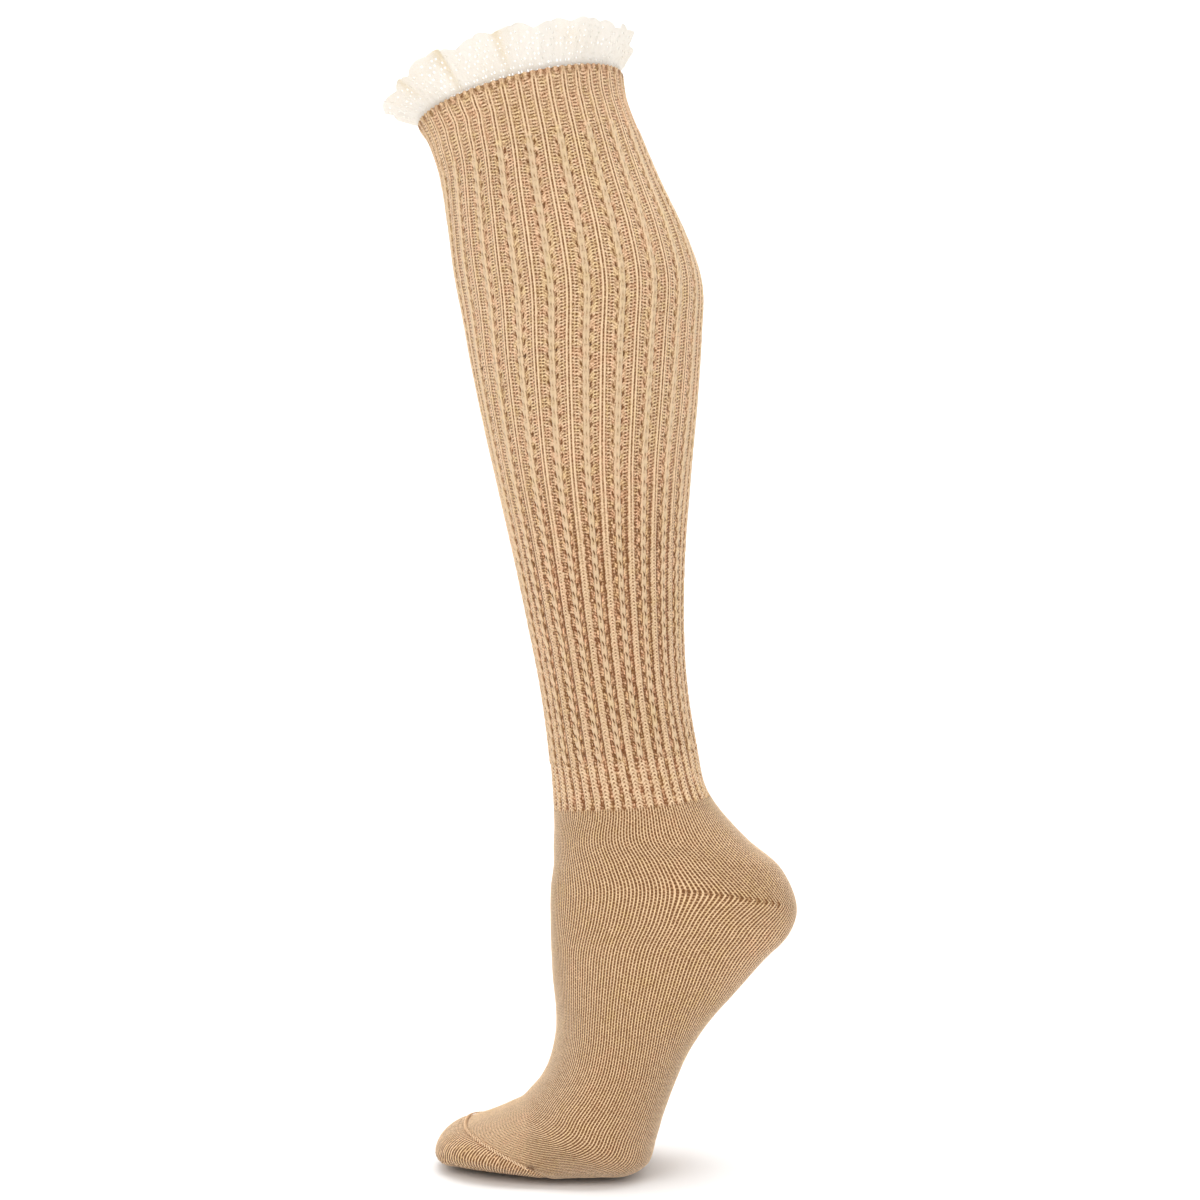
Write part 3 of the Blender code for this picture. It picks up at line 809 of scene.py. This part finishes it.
ROWS_PER_COURSE = 2  # rows of points for each knitted row
RIB_ROWS_PER_COURSE = 3  # the same in the ankle rib
WELT_ROWS, WELT_COURSES = course_rows("rim", "welt_end", ROWS_PER_COURSE)
LEG_ROWS, LEG_COURSES = course_rows("welt_end", "rib_top", ROWS_PER_COURSE)
RIB_ROWS, RIB_COURSES = course_rows("rib_top", "rib_end", RIB_ROWS_PER_COURSE, RIB_COURSE)
CREASE_ROWS = (
    (10.5, 14, 62, 7, 88, 0.95),
    (8.0, 80, 40, 7, 92, 0.85),
    (9.5, 62, 46, 8, 86, 0.75),
    (16.0, 30, 30, 8, 80, -0.4),
    (17.5, 6, 34, 9, 96, -0.5),
    (48, 12, 60, 14, 8, 0.5),
    (95, 70, 70, 16, -6, 0.45),
    (150, 40, 80, 18, 5, 0.5),
    (215, 20, 44, 10, 70, 0.35),
    (243, 56, 38, 9, 100, 0.4),
    (262, 10, 34, 8, 82, 0.4),
    (362, 20, 46, 12, 76, 0.45),
    (372, 3, 40, 9, 84, 0.5),
    (352, 78, 40, 10, 95, 0.5),
    (430, 8, 50, 10, 78, 0.4),
    (448, 14, 44, 12, 66, 0.45),
    (440, 76, 48, 11, 104, 0.45),
)
CREASES = [Crease(*row) for row in CREASE_ROWS]


def ribbed_grid(rows, first_course, rows_per_course):
    """The creased grid of a ribbed piece, with its knitted rows and its shares of chain and plain knit."""
    leg_end = WELT_COURSES + LEG_COURSES
    rib_end = leg_end + RIB_COURSES
    grid = cloth_grid(rows, RIBBED_WALES)
    course = first_course + np.arange(len(rows))[:, None] / rows_per_course
    course = np.broadcast_to(course, grid["wale"].shape)
    past_leg = smooth(course, leg_end - 1, leg_end + 0.5)
    grid["course"] = course
    grid["chain"] = smooth(course, WELT_COURSES - 3, WELT_COURSES + 1.5) * (1 - past_leg)
    grid["plain"] = smooth(course, rib_end - 0.8, rib_end + 0.8)
    grid["sunk"] = creases_at(grid["point"], CREASES)
    return grid


def roll_over(grid):
    """Adds the rolled edge above the first row: from the inside, up over the rim and down to the outside."""
    first = {key: values[:1] for key, values in grid.items()}
    turn = np.linspace(math.pi, 0, ROLL_ROWS + 1)[:-1, None, None]
    loops = np.cos(first["wale"] * math.pi)[..., None] ** 2
    rise = (ROLL_RADIUS + LOOP_RISE * loops) * np.sin(turn)
    inward = (1 - np.cos(turn)) * (INNER_DEPTH - GROUND_DEPTH * MM / 2) / 2
    rolled = {key: np.repeat(values, ROLL_ROWS, axis=0) for key, values in first.items()}
    rolled["point"] = first["point"] + first["up"] * rise - first["outward"] * inward
    rolled["face"] = np.broadcast_to(smooth(np.cos(turn[..., 0]), -0.2, 0.9), rolled["face"].shape)
    rolled["level"] = np.repeat(loops[..., 0], ROLL_ROWS, axis=0) * 0.9 - 0.25
    facing = first["outward"] * np.maximum(np.cos(turn), 0.0) + first["up"] * np.sin(turn) * 0.35
    rolled["outward"] = unit(facing + 1e-6) * np.maximum(np.cos(turn), 0.05)
    return {key: np.concatenate((rolled[key], grid[key])) for key in grid}


WELT = SockPiece("welt_cloth", "welt", 0.305, 0.027, 5, INNER_DEPTH)
make_piece(WELT, roll_over(ribbed_grid(WELT_ROWS, 0, ROWS_PER_COURSE)), WELT_ROWS)

# ============================================================
# Leg: the same 84 needles go on in 21 repeats of four: a chain that twists every fourth row, purl, a plain
# rib, purl. The calf stretches it open, and towards the ankle the ribs close up. Three pieces of one tube.
# ============================================================
LegPart = namedtuple("LegPart", "name first_share last_share girth")
LEG_PARTS = (
    LegPart("leg_calf_cloth", 0.0, 0.34, 0.330),
    LegPart("leg_shin_cloth", 0.34, 0.67, 0.291),
    LegPart("leg_lower_cloth", 0.67, 1.0, 0.218),
)


def make_leg_part(part):
    first = round(part.first_share * LEG_COURSES)
    last = round(part.last_share * LEG_COURSES)
    rows = LEG_ROWS[first * ROWS_PER_COURSE : last * ROWS_PER_COURSE + 1]
    grid = ribbed_grid(rows, WELT_COURSES + first, ROWS_PER_COURSE)
    length = (last - first) * COURSE
    make_piece(SockPiece(part.name, "leg", part.girth, length, 16, INNER_DEPTH), grid, rows)


for leg_part in LEG_PARTS:
    make_leg_part(leg_part)

# ============================================================
# Ankle rib: 13 rows of 1x1 rib again, drawn in close, so that each rib is a column of stacked V's with a
# dark groove beside it.
# ============================================================
ANKLE_RIB = SockPiece("ankle_rib_cloth", "ankle_rib", 0.210, RIB_COURSES * RIB_COURSE, 5, INNER_DEPTH)
make_piece(ANKLE_RIB, ribbed_grid(RIB_ROWS, WELT_COURSES + LEG_COURSES, RIB_ROWS_PER_COURSE), RIB_ROWS)

# ============================================================
# Foot: plain knitting on the same needles, with a heel pocket of short rows. The rows meet at a slant in a
# suture of small holes on each side of the heel. On top, the last rows before the toe lie finer and flatter.
# ============================================================
FOOT = SockPiece("foot_cloth", "foot", 0.244, 0.206, 30, 2.0 * MM)
FOOT_COLUMNS_PER_WALE = 4  # two on the legs of its stitches and two in the grooves beside them
FOOT_ROWS = 258
FOOT_COURSE = 1.4 * MM
PLAIN_WALES = np.arange(WALES * FOOT_COLUMNS_PER_WALE) / FOOT_COLUMNS_PER_WALE
LINK_END = math.radians(88)  # where the toe seam ends on each side, from the front
PUCKER_DEPTH = 1.2  # mm
PUCKER_RADIUS = 1.9 * MM
PUCKER_PLACE = 1.5 * MM  # above the toe seam
FINE_BLEND = 7 * MM
FINE_START = -5 * MM  # where the calmer rows over the toes begin, before the sock's middle
FINE_TOP = (450 * MM, 458 * MM)  # how far under the origin they begin to show, and show fully
BALL_CONTRAST = 0.5  # how much more the grooves show, and how much darker the knit is, towards the bottom of the foot
BALL_TOP = (400 * MM, 450 * MM)  # the same heights for the ball
SUTURE_WALES = range(24, 35)  # the wales of the near side that turn at the suture with a hole
SUTURE_HOLE_DEPTH = 1.1  # mm
SUTURE_ARM = 0.85  # mm, half the width of a hole's two slanting arms
SUTURE_SLANT = 1.6  # mm that an arm runs away from the suture in each wale
SUTURE_HALF = 0.25  # wales, half the width of a hole
SEAM_DIP = 0.2  # mm, where the toe seam draws in the cloth
SEAM_DIP_PLACE = 0.8  # mm from the seam
SEAM_LINE_DEPTH = 0.75  # mm, the groove above the toe seam, darkened with painted shade
SEAM_LINE_PLACE = 1.1  # mm from the seam
SEAM_LINE_WIDTH = 0.5  # mm


def lengths_from(grid, row):
    """Length along each wale from a row of the grid."""
    steps = np.linalg.norm(np.diff(grid["point"], axis=0), axis=-1)
    run = np.concatenate((np.zeros((1, steps.shape[1])), np.cumsum(steps, axis=0)))
    return run - run[row]


def heel_courses(grid, rows, first_course):
    """Row numbers above the suture, counted from the ankle, and below it, counted back from the arch."""
    arch = np.searchsorted(rows, STATION["arch_2"])
    suture = np.searchsorted(rows, STATION["suture"])
    from_ankle = lengths_from(grid, 0) / FOOT_COURSE
    from_arch = lengths_from(grid, arch) / FOOT_COURSE
    arch_course = first_course + from_ankle[arch, 0]
    below = arch_course + from_arch
    slack = (below[suture] - first_course) / from_ankle[suture]
    side = int(len(grid["wale"][0]) * 0.25)
    slack[side:-side] = slack[side]
    above = first_course + from_ankle * slack
    return above, below, suture


def seam_dip(from_seam):
    """How far the toe seam draws in the cloth on both sides of it, in millimetres."""
    return SEAM_DIP * np.exp(-((from_seam / MM - SEAM_DIP_PLACE) ** 2))


def make_foot():
    start, turn, end = (STATION[key] for key in ("rib_end", "suture", "toe_seam"))
    suture_row = np.abs(np.linspace(start, end, FOOT_ROWS + 1) - turn).argmin()
    rows = np.interp(np.arange(FOOT_ROWS + 1), (0, suture_row, FOOT_ROWS), (start, turn, end))
    grid = cloth_grid(rows, PLAIN_WALES)
    first_course = WELT_COURSES + LEG_COURSES + RIB_COURSES
    above, below, suture = heel_courses(grid, rows, first_course)
    row_number = np.arange(len(rows))[:, None]
    grid["course"] = np.where(row_number <= suture, above, below)
    grid["course_below"] = np.where(row_number < suture, above, below)
    grid["plain"] = smooth(above, first_course - 0.8, first_course + 0.8)
    from_seam = (end - rows)[:, None]
    grid["face"] = np.broadcast_to(smooth(from_seam, 0.2 * MM, 2.0 * MM), above.shape)
    grid["sunk"] = creases_at(grid["point"], CREASES) + seam_dip(from_seam)
    x, _, z = np.moveaxis(grid["point"], -1, 0)
    over = smooth(-x, FINE_START, FINE_START + FINE_BLEND) * smooth(-z, *FINE_TOP)
    grid["fine"] = over - BALL_CONTRAST * (1 - over) * smooth(-z, *BALL_TOP)
    from_suture = np.abs(rows[:, None] - turn) / MM
    for hole_wale in SUTURE_WALES:
        for wale in (hole_wale, WALES - hole_wale):
            across = (grid["wale"] - wale) * np.where(wale < WALES / 2, 1, -1)
            arm = np.abs(from_suture + across * SUTURE_SLANT)
            spread = (arm / SUTURE_ARM) ** 2 + ((across + SUTURE_HALF) / SUTURE_HALF) ** 2
            grid["hole"] = grid["hole"] + SUTURE_HOLE_DEPTH * np.exp(-spread)
    for angle in (-LINK_END, LINK_END):
        middle = skin(np.array(end - PUCKER_PLACE), np.array(angle))
        dent = np.linalg.norm(grid["point"] - middle, axis=-1)
        grid["hole"] = grid["hole"] + PUCKER_DEPTH * np.exp(-((dent / PUCKER_RADIUS) ** 2))
    over_toes = smooth(np.abs(grid["wale"] - WALES / 2), WALES * 0.25, WALES * 0.27)
    above_seam = (from_seam / MM - SEAM_LINE_PLACE) / SEAM_LINE_WIDTH
    grid["hole"] = grid["hole"] + SEAM_LINE_DEPTH * np.exp(-(above_seam**2)) * over_toes
    make_piece(FOOT, grid, rows)


make_foot()

# ============================================================
# Toe cap: plain knitting that is turned like the heel, so its wales fan out from the linked seam over the
# toes and run down its sides. It is closed to the foot with one linked seam.
# ============================================================
TOE_CAP_AREA = 0.0052 / KNIT_STRETCH  # it narrows to a point
TOE_CAP = SockPiece("toe_cap_cloth", "toe_cap", 0.207, 0.055, 12, 2.0 * MM, TOE_CAP_AREA)
TOE_ROWS = 64
FAN_MIDDLE_X = 4.0 * MM  # the wales fan out from a point inside the toes
FAN_MIDDLE_Z = -480 * MM
FAN_TILT = 0.5  # how far the wales lean forward as they run down the side
FAN_WALE = math.radians(4.3)  # from one wale to the next
TOE_CONTRAST = 0.9  # how much more the grooves show than on the foot
NEAR_TIP = 5 * MM  # where the wales fade out


def make_toe_cap():
    end = (STATION["toe_4"] + STATION["tip"]) / 2 + 2.0 * MM
    rows = np.linspace(STATION["toe_seam"], end, TOE_ROWS + 1)
    grid = cloth_grid(rows, PLAIN_WALES)
    x, y, z = np.moveaxis(grid["point"], -1, 0)
    forward = FAN_MIDDLE_X + FAN_TILT * (z - FAN_MIDDLE_Z) - x
    radius = np.hypot(forward, y)
    grid["course"] = np.hypot(radius, 0.9 * (z - FAN_MIDDLE_Z)) / FOOT_COURSE
    grid["wale"] = np.arctan2(y, forward) / FAN_WALE
    grid["gauge"] = radius * FAN_WALE / MM
    grid["plain"] = np.ones(x.shape)
    grid["fine"] = np.full(x.shape, -TOE_CONTRAST)
    from_seam = (rows - rows[0])[:, None]
    past_seam = smooth(from_seam, 0.2 * MM, 2.2 * MM)
    before_tip = 1 - smooth(rows[:, None], end - NEAR_TIP, end)
    grid["face"] = np.broadcast_to(past_seam * before_tip, x.shape)
    grid["sunk"] = grid["sunk"] + seam_dip(from_seam)
    tip = skin(np.array(STATION["tip"]), np.array(0.0))
    inside_tip = tip + np.array((TOE_CAP.inner_depth, 0, 0))
    make_piece(TOE_CAP, grid, rows, (tip + np.array((0.5 * MM, 0, 0)), inside_tip))


make_toe_cap()

# ============================================================
# Toe seam: a row of small linking stitches in the same cotton closes the toe cap to the foot over the toes.
# It stands up a little and ends in a pucker on each side of the toes.
# ============================================================
LINK_PITCH = 1.7 * MM  # from one stitch to the next
LINK_RADIUS = 0.25 * MM  # of the yarn
LINK_LENGTH = 1.35 * LINK_PITCH  # each stitch reaches under the next
LINK_RISE = 0.45 * MM
LINK_SLANT = 0.55  # how far a stitch leans along the foot for its run round it
LINK_SINK = 0.14 * MM  # how far its ends lie below the skin


def in_yarn(tree, given, result, shape):
    """Ends a tree: what it makes is in the given yarn."""
    cotton = add_node(tree, "GeometryNodeSetMaterial", {"Geometry": shape, "Material": given["Yarn"]})
    plug(tree, cotton, result.inputs["Geometry"])


def stitch_tree():
    """Small arched stitches, one on each point, laid along the point's heading and arched outwards."""
    sizes = {"Geometry": None, "Length": 1.6 * MM, "Rise": 0.5 * MM, "Radius": 0.3 * MM, "Yarn": None}
    tree, given, result = new_tree("sewn_stitches", "GeometryNodeTree", sizes, ["Geometry"])

    def offset(x, z):
        return add_node(tree, "ShaderNodeCombineXYZ", {"X": x, "Z": z})

    arc = {
        "Resolution": 6,
        "Start": offset(given["Length"] * -0.5, 0.0),
        "Middle": offset(0.0, given["Rise"] * 2.0),
        "End": offset(given["Length"] * 0.5, 0.0),
    }
    wire = {"Resolution": 6, "Radius": given["Radius"]}
    tube = {
        "Curve": add_node(tree, "GeometryNodeCurveQuadraticBezier", arc),
        "Profile Curve": add_node(tree, "GeometryNodeCurvePrimitiveCircle", wire),
        "Fill Caps": True,
    }
    turn = {}
    for name, axis, pivot in (("outward", "Z", "AUTO"), ("heading", "X", "Z")):
        turn["Vector"] = named(tree, name, "FLOAT_VECTOR")
        settings = {"axis": axis, "pivot_axis": pivot}
        turn["Rotation"] = add_node(tree, "FunctionNodeAlignRotationToVector", turn, **settings)
    stitch = add_node(tree, "GeometryNodeCurveToMesh", tube)
    inputs = {"Points": given["Geometry"], "Instance": stitch, "Rotation": turn["Rotation"]}
    placed = add_node(tree, "GeometryNodeInstanceOnPoints", inputs)
    in_yarn(tree, given, result, add_node(tree, "GeometryNodeRealizeInstances", (placed,)))
    return tree


def camel_thread():
    material, tree, shader = cotton_material("camel_linking_yarn", 0.35, (1.0, 0.9, 0.78))
    fluff = cotton_yarn(tree)["Fluff"]
    colour = mixed(tree, (0.7 + fluff).ramp(0.0, 1.0), CAMEL_MIDDLE, CAMEL_LIGHT)
    coloured(tree, shader, colour, fluff, 0.2 * MM, 0.6)
    return material


def link_toe():
    station = STATION["toe_seam"]
    fine = np.linspace(-LINK_END, LINK_END, 400)
    path = skin(np.full(fine.shape, station), fine)
    run = np.concatenate(([0.0], np.cumsum(np.linalg.norm(np.diff(path, axis=0), axis=-1))))
    angle = np.interp(np.arange(0.5, run[-1] / LINK_PITCH) * LINK_PITCH, run, fine)
    places = np.full(angle.shape, station)
    along, around = skin_slopes(places, angle)
    outward = unit(np.cross(along, around))
    heading = unit(unit(around) + LINK_SLANT * unit(along))
    points = skin(places, angle) - outward * LINK_SINK
    mesh = bpy.data.meshes.new("toe_linking")
    mesh.from_pydata(points.tolist(), [], [])
    store_at_points(mesh, "outward", outward)
    store_at_points(mesh, "heading", heading)
    seam = linked("toe_linking", mesh)
    thread = camel_thread()
    shaped_by(seam, stitch_tree(), Length=LINK_LENGTH, Rise=LINK_RISE, Radius=LINK_RADIUS, Yarn=thread)
    seam.data.shade_smooth()
    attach(seam, "root")


link_toe()

# ============================================================
# Lace: a strip of ivory cotton lace, 27 mm wide and 1.4 times as long as the rim, gathered along one edge
# and sewn inside the welt. It is a net of small eyelets with closed leaves, and its edge is scalloped.
# ============================================================
LACE_WALL = 0.5 * MM
LACE_HEADING = 5.0 * MM  # the edge that is sewn inside the welt
LACE_SEAT_GAP = 0.45 * MM  # between the heading and the welt
LACE_WIDTH = 22.5 * MM  # past the rim
LACE_WIDTH_SWING = 2.0 * MM  # wider at the sides, and narrower in front and behind
LACE_WAVES = 17  # large waves round the rim
LACE_WAVE_HEIGHT = 2.0 * MM
LACE_WAVE_GROWTH = 1.2
LACE_PLEATS = 61  # small gathers round the rim
LACE_PLEAT_HEIGHT = 0.5 * MM
LACE_FLARE = math.radians(35)  # outwards from the leg
LACE_FLARE_SWING = math.radians(4)  # more in front than behind
LACE_BEND_RADIUS = 9.0 * MM
Drift = namedtuple("Drift", "bumps size start")  # a slow change with so many bumps round the rim
LACE_DRIFTS = (Drift(3, 0.7, 1.0), Drift(7, 0.5, 0.0))
LACE_EDGE_DRIFTS = (Drift(9, 1.0, 0.4), Drift(23, 0.6, 1.0))  # in the width, with sizes in millimetres
Fall = namedtuple("Fall", "place spread flare")  # where it leans out more, or less, all in degrees
LACE_FALLS = (Fall(57, 7, -22), Fall(140, 12, 8), Fall(215, 13, 14), Fall(292, 15, 18))
Fold = namedtuple("Fold", "place spread depth")  # degrees from the front, and millimetres inwards
LACE_FOLDS = (
    Fold(57, 3.5, 1.6),
    Fold(87, 2.2, 1.0),
    Fold(32, 3, 0.8),
    Fold(238, 4, 2.6),
    Fold(301, 4.5, 3.0),
)
NET_COLUMNS = 210  # cells of the net round the rim
NET_ROWS = 11
SCALLOP_CELLS = 5  # cells for each scallop and each leaf
SCALLOP_DEPTH = 1.3 * MM
NET_WELD = 0.02 * MM  # points closer than this are one


def net_tree():
    """A flat net of cells one unit wide, each with a round eyelet, and some left closed."""
    sizes = {
        "Geometry": None,
        "Columns": NET_COLUMNS,
        "Rows": NET_ROWS,
        "Eyelet": 0.47,
        "Scallop Cells": float(SCALLOP_CELLS),
        "Yarn": None,
    }
    tree, given, result = new_tree("lace_net", "GeometryNodeTree", sizes, ["Geometry"])
    columns, rows = given["Columns"], given["Rows"]
    cells = {"Size X": columns, "Size Y": rows, "Vertices X": columns + 1, "Vertices Y": rows + 1}
    grid = add_node(tree, "GeometryNodeMeshGrid", cells)
    place = add_node(tree, "ShaderNodeSeparateXYZ", (add_node(tree, "GeometryNodeInputPosition"),))
    x = place["X"] + columns / 2
    y = place["Y"] + rows / 2
    leaf_x = (x / given["Scallop Cells"]).math("FRACT") - 0.5
    leaf = abs(leaf_x * 3.0) + abs(y - rows * 0.64) * 0.42
    ring = abs(leaf - 1.15).ramp(0.25, 0.1)
    edge = y.ramp(rows - 1.4, rows - 1.0)
    third = ((x.math("FLOOR") + y.math("FLOOR") * 2.0) / 3.0 + 0.1).math("FRACT").math("GREATER_THAN", 0.6)
    closed = ring.most(edge).most(y.fade(1.9, 2.1)).most(third)
    inputs = {"Mesh": grid, "Individual": True, "Offset Scale": 0.0}
    pinched = add_node(tree, "GeometryNodeExtrudeMesh", inputs, mode="FACES")
    inputs = {"Geometry": pinched, "Selection": pinched["Top"], "Scale": given["Eyelet"]}
    shrunk = add_node(tree, "GeometryNodeScaleElements", inputs, domain="FACE")
    inputs = {"Geometry": shrunk, "Selection": pinched["Top"] * closed.math("LESS_THAN", 0.5)}
    cut = add_node(tree, "GeometryNodeDeleteGeometry", inputs, domain="FACE")
    rounded = add_node(tree, "GeometryNodeSubdivisionSurface", {"Mesh": cut, "Level": 1})
    in_yarn(tree, given, result, rounded)
    return tree


def lace_point(reach, angle):
    """A point of the lace's outer face, at a distance past the rim, or before it, where it is sewn in, with
    how deep in a fold it lies, for painted shade there.
    """
    along, around = skin_slopes(np.zeros_like(angle), angle)
    outward = unit(np.cross(along, around))
    up = -unit(along)
    seat = INNER_DEPTH + LACE_SEAT_GAP
    down = np.maximum(-reach, 0.0)
    run_along, run_around = skin_slopes(down, angle)
    heading = skin(down, angle) - unit(np.cross(run_along, run_around)) * seat
    flare = LACE_FLARE + LACE_FLARE_SWING * np.cos(angle)
    for fall in LACE_FALLS:
        away = np.cos(angle - math.radians(fall.place)) - 1
        flare = flare + math.radians(fall.flare) * np.exp(away / math.radians(fall.spread) ** 2)
    past = np.maximum(reach, 0.0)
    bent = np.minimum(past / LACE_BEND_RADIUS, flare)
    straight = past - bent * LACE_BEND_RADIUS
    rise = LACE_BEND_RADIUS * np.sin(bent) + straight * np.cos(flare)
    lean = LACE_BEND_RADIUS * (1 - np.cos(bent)) + straight * np.sin(flare)
    phase = LACE_WAVES * angle
    for drift in LACE_DRIFTS:
        phase = phase + drift.size * np.sin(drift.bumps * angle + drift.start)
    size = 1 + 0.28 * np.sin(2 * angle + 0.6) + 0.2 * np.sin(5 * angle + 2.0)
    wave = LACE_WAVE_HEIGHT * size * (past / LACE_WIDTH) ** LACE_WAVE_GROWTH * np.cos(phase)
    pleats = np.cos(LACE_PLEATS * angle + 2 * np.sin(4 * angle))
    small = LACE_PLEAT_HEIGHT * np.sin(math.pi * np.clip(past / LACE_WIDTH, 0, 1)) * pleats
    # How deep in a fold each point lies, for the painted shade there.
    fold_shade = np.zeros_like(angle)
    for fold in LACE_FOLDS:
        away = (angle - math.radians(fold.place)) / math.radians(fold.spread)
        inwards = fold.depth * np.exp(-(away**2)) * (past / LACE_WIDTH) ** 0.5
        small = small - inwards * MM
        fold_shade = fold_shade + inwards / 2
    wave = wave + small
    rise = rise - wave * np.sin(bent)
    lean = lean + wave * np.cos(bent)
    return heading + up * rise[..., None] + outward * lean[..., None], np.minimum(fold_shade, 1.0)


LACE_LIGHT = (0.90, 0.855, 0.785)
LACE_FOLD_PAINTED_SHADE = (0.78, 0.66, 0.47)  # painted shade in the depth of a fold


def ivory_lace():
    material, tree, shader = cotton_material("ivory_cotton_lace", 0.25, (1.0, 0.97, 0.9))
    yarn = cotton_yarn(tree, **{"Fibre Scale": 1900.0, "Patch Scale": 45.0})
    place = on_cloth_map(tree, "net")
    twist = (place["X"] * 3.0).wave() * (place["Y"] * 3.0).wave()
    # The lace is darker in the depth of its folds, as painted shade.
    thread = twist * 0.35 + yarn["Patch"] * 0.7 + yarn["Fluff"] * 0.6 - attribute(tree, "fold_shade") * 1.4
    colour = mixed(tree, thread.ramp(-1.2, 0.2), LACE_FOLD_PAINTED_SHADE, LACE_LIGHT)
    coloured(tree, shader, colour, twist * 0.5 + yarn["Fluff"] * 0.4, 0.2 * MM, 0.6)
    return material


IVORY_LACE = ivory_lace()


def make_lace():
    lace = linked("lace_cloth", bpy.data.meshes.new("lace_cloth"))
    shaped_by(lace, net_tree(), Yarn=IVORY_LACE)
    mesh = lace.data
    flat = np.zeros(len(mesh.vertices) * 3, np.float32)
    mesh.vertices.foreach_get("co", flat)
    flat = flat.reshape(-1, 3).astype(float)
    along = flat[:, 0] / NET_COLUMNS + 0.5
    across = flat[:, 1] / NET_ROWS + 0.5
    angle = along * 2 * math.pi
    width = LACE_WIDTH - LACE_WIDTH_SWING * np.cos(2 * angle)
    for drift in LACE_EDGE_DRIFTS:
        width = width + drift.size * MM * np.sin(drift.bumps * angle + drift.start)
    dip = SCALLOP_DEPTH * (1 - np.abs(np.sin(math.pi * along * NET_COLUMNS / SCALLOP_CELLS)))
    reach = -LACE_HEADING + across * (LACE_HEADING + width) - dip * across**6
    points, fold_shade = lace_point(reach, angle)
    store_at_points(mesh, "fold_shade", fold_shade)
    mesh.vertices.foreach_set("co", points.astype(np.float32).ravel())
    corners = np.zeros(len(mesh.loops), np.int32)
    mesh.loops.foreach_get("vertex_index", corners)
    net_map = flat[corners][:, :2].astype(np.float32)
    mesh.uv_layers.new(name="net").data.foreach_set("uv", net_map.ravel())
    net = bmesh.new()
    net.from_mesh(mesh)
    bmesh.ops.remove_doubles(net, verts=net.verts, dist=NET_WELD)
    net.to_mesh(mesh)
    net.free()
    mesh.shade_smooth()
    wall = lace.modifiers.new("wall", "SOLIDIFY")
    wall.thickness = LACE_WALL
    wall.offset = -1.0
    with_modifier(lace, wall)
    lace.data.materials.clear()
    lace.data.materials.append(IVORY_LACE)
    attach(lace, "root")
    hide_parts("lace_frill")


make_lace()

# ============================================================
# Photo set: a plain white floor that sweeps up behind the sock, and large soft lights. It isn't part of the
# object. The camera stands 0.93 m away, level with the middle of the sock.
# ============================================================
FLOOR_Z = -0.4926  # just under the ball
SWEEP_RADIUS = 1.2
SWEEP_START = 1.6  # behind the sock
SWEEP_STEPS = 16
SWEEP_REACH = 6.0  # to each side, to the front and up


def make_sweep():
    """The floor, 12 m wide, and the wall that it curves up into."""
    profile = [(-SWEEP_REACH, FLOOR_Z), (SWEEP_START, FLOOR_Z)]
    for i in range(1, SWEEP_STEPS + 1):
        turn = i / SWEEP_STEPS * math.pi / 2
        y = SWEEP_START + SWEEP_RADIUS * math.sin(turn)
        z = FLOOR_Z + SWEEP_RADIUS * (1 - math.cos(turn))
        profile.append((y, z))
    profile.append((SWEEP_START + SWEEP_RADIUS, SWEEP_REACH))
    mesh = bmesh.new()
    rows = [[mesh.verts.new((x, y, z)) for x in (-SWEEP_REACH, SWEEP_REACH)] for y, z in profile]
    for lower, upper in zip(rows, rows[1:]):
        mesh.faces.new((lower[0], lower[1], upper[1], upper[0]))
    data = bpy.data.meshes.new("sweep")
    mesh.to_mesh(data)
    mesh.free()
    data.shade_smooth()
    paper = bpy.data.materials.new("white_paper")
    paper.use_nodes = True
    looks = {"Base Color": (0.93, 0.93, 0.93, 1), "Roughness": 0.9}
    fill(paper.node_tree, paper.node_tree.nodes["Principled BSDF"], looks)
    data.materials.append(paper)
    linked("sweep", data)


Light = namedtuple("Light", "name place aim size watts")
MIDDLE_OF_SOCK = (0.0, 0.0, -0.25)
LIGHTS = (
    Light("key", (-1.1, -1.5, 1.0), MIDDLE_OF_SOCK, 1.4, 18),
    Light("fill", (1.3, -1.4, 0.5), MIDDLE_OF_SOCK, 1.6, 10),
    Light("top", (0.0, 0.2, 1.9), MIDDLE_OF_SOCK, 2.0, 7),
    Light("wall", (0.0, 0.7, 2.4), (0.0, 2.8, 0.4), 3.0, 85),
)


def add_light(lamp):
    data = bpy.data.lights.new(lamp.name, "AREA")
    data.shape = "SQUARE"
    data.size = lamp.size
    data.energy = lamp.watts
    light = linked(lamp.name, data)
    light.location = lamp.place
    light.rotation_euler = (Vector(lamp.aim) - light.location).to_track_quat("-Z", "Y").to_euler()


make_sweep()
for lamp in LIGHTS:
    add_light(lamp)

world = bpy.data.worlds.new("studio")
world.use_nodes = True
fill(world.node_tree, world.node_tree.nodes["Background"], {"Color": (1, 1, 1, 1), "Strength": 0.55})
bpy.context.scene.world = world
bpy.context.scene.view_settings.view_transform = "Standard"

CAMERA_PLACE = (0.0344, -0.926, -0.2242)
SENSOR_WIDTH = 36.0  # mm
PHOTO_FOCAL_SHARE = 1949.5 / 1200  # of the picture's side
camera_data = bpy.data.cameras.new("camera")
camera_data.sensor_width = SENSOR_WIDTH
camera_data.lens = SENSOR_WIDTH * PHOTO_FOCAL_SHARE
camera = linked("camera", camera_data)
camera.location = CAMERA_PLACE
camera.rotation_euler = (math.radians(90), 0, 0)
bpy.context.scene.camera = camera

bpy.context.view_layer.update()
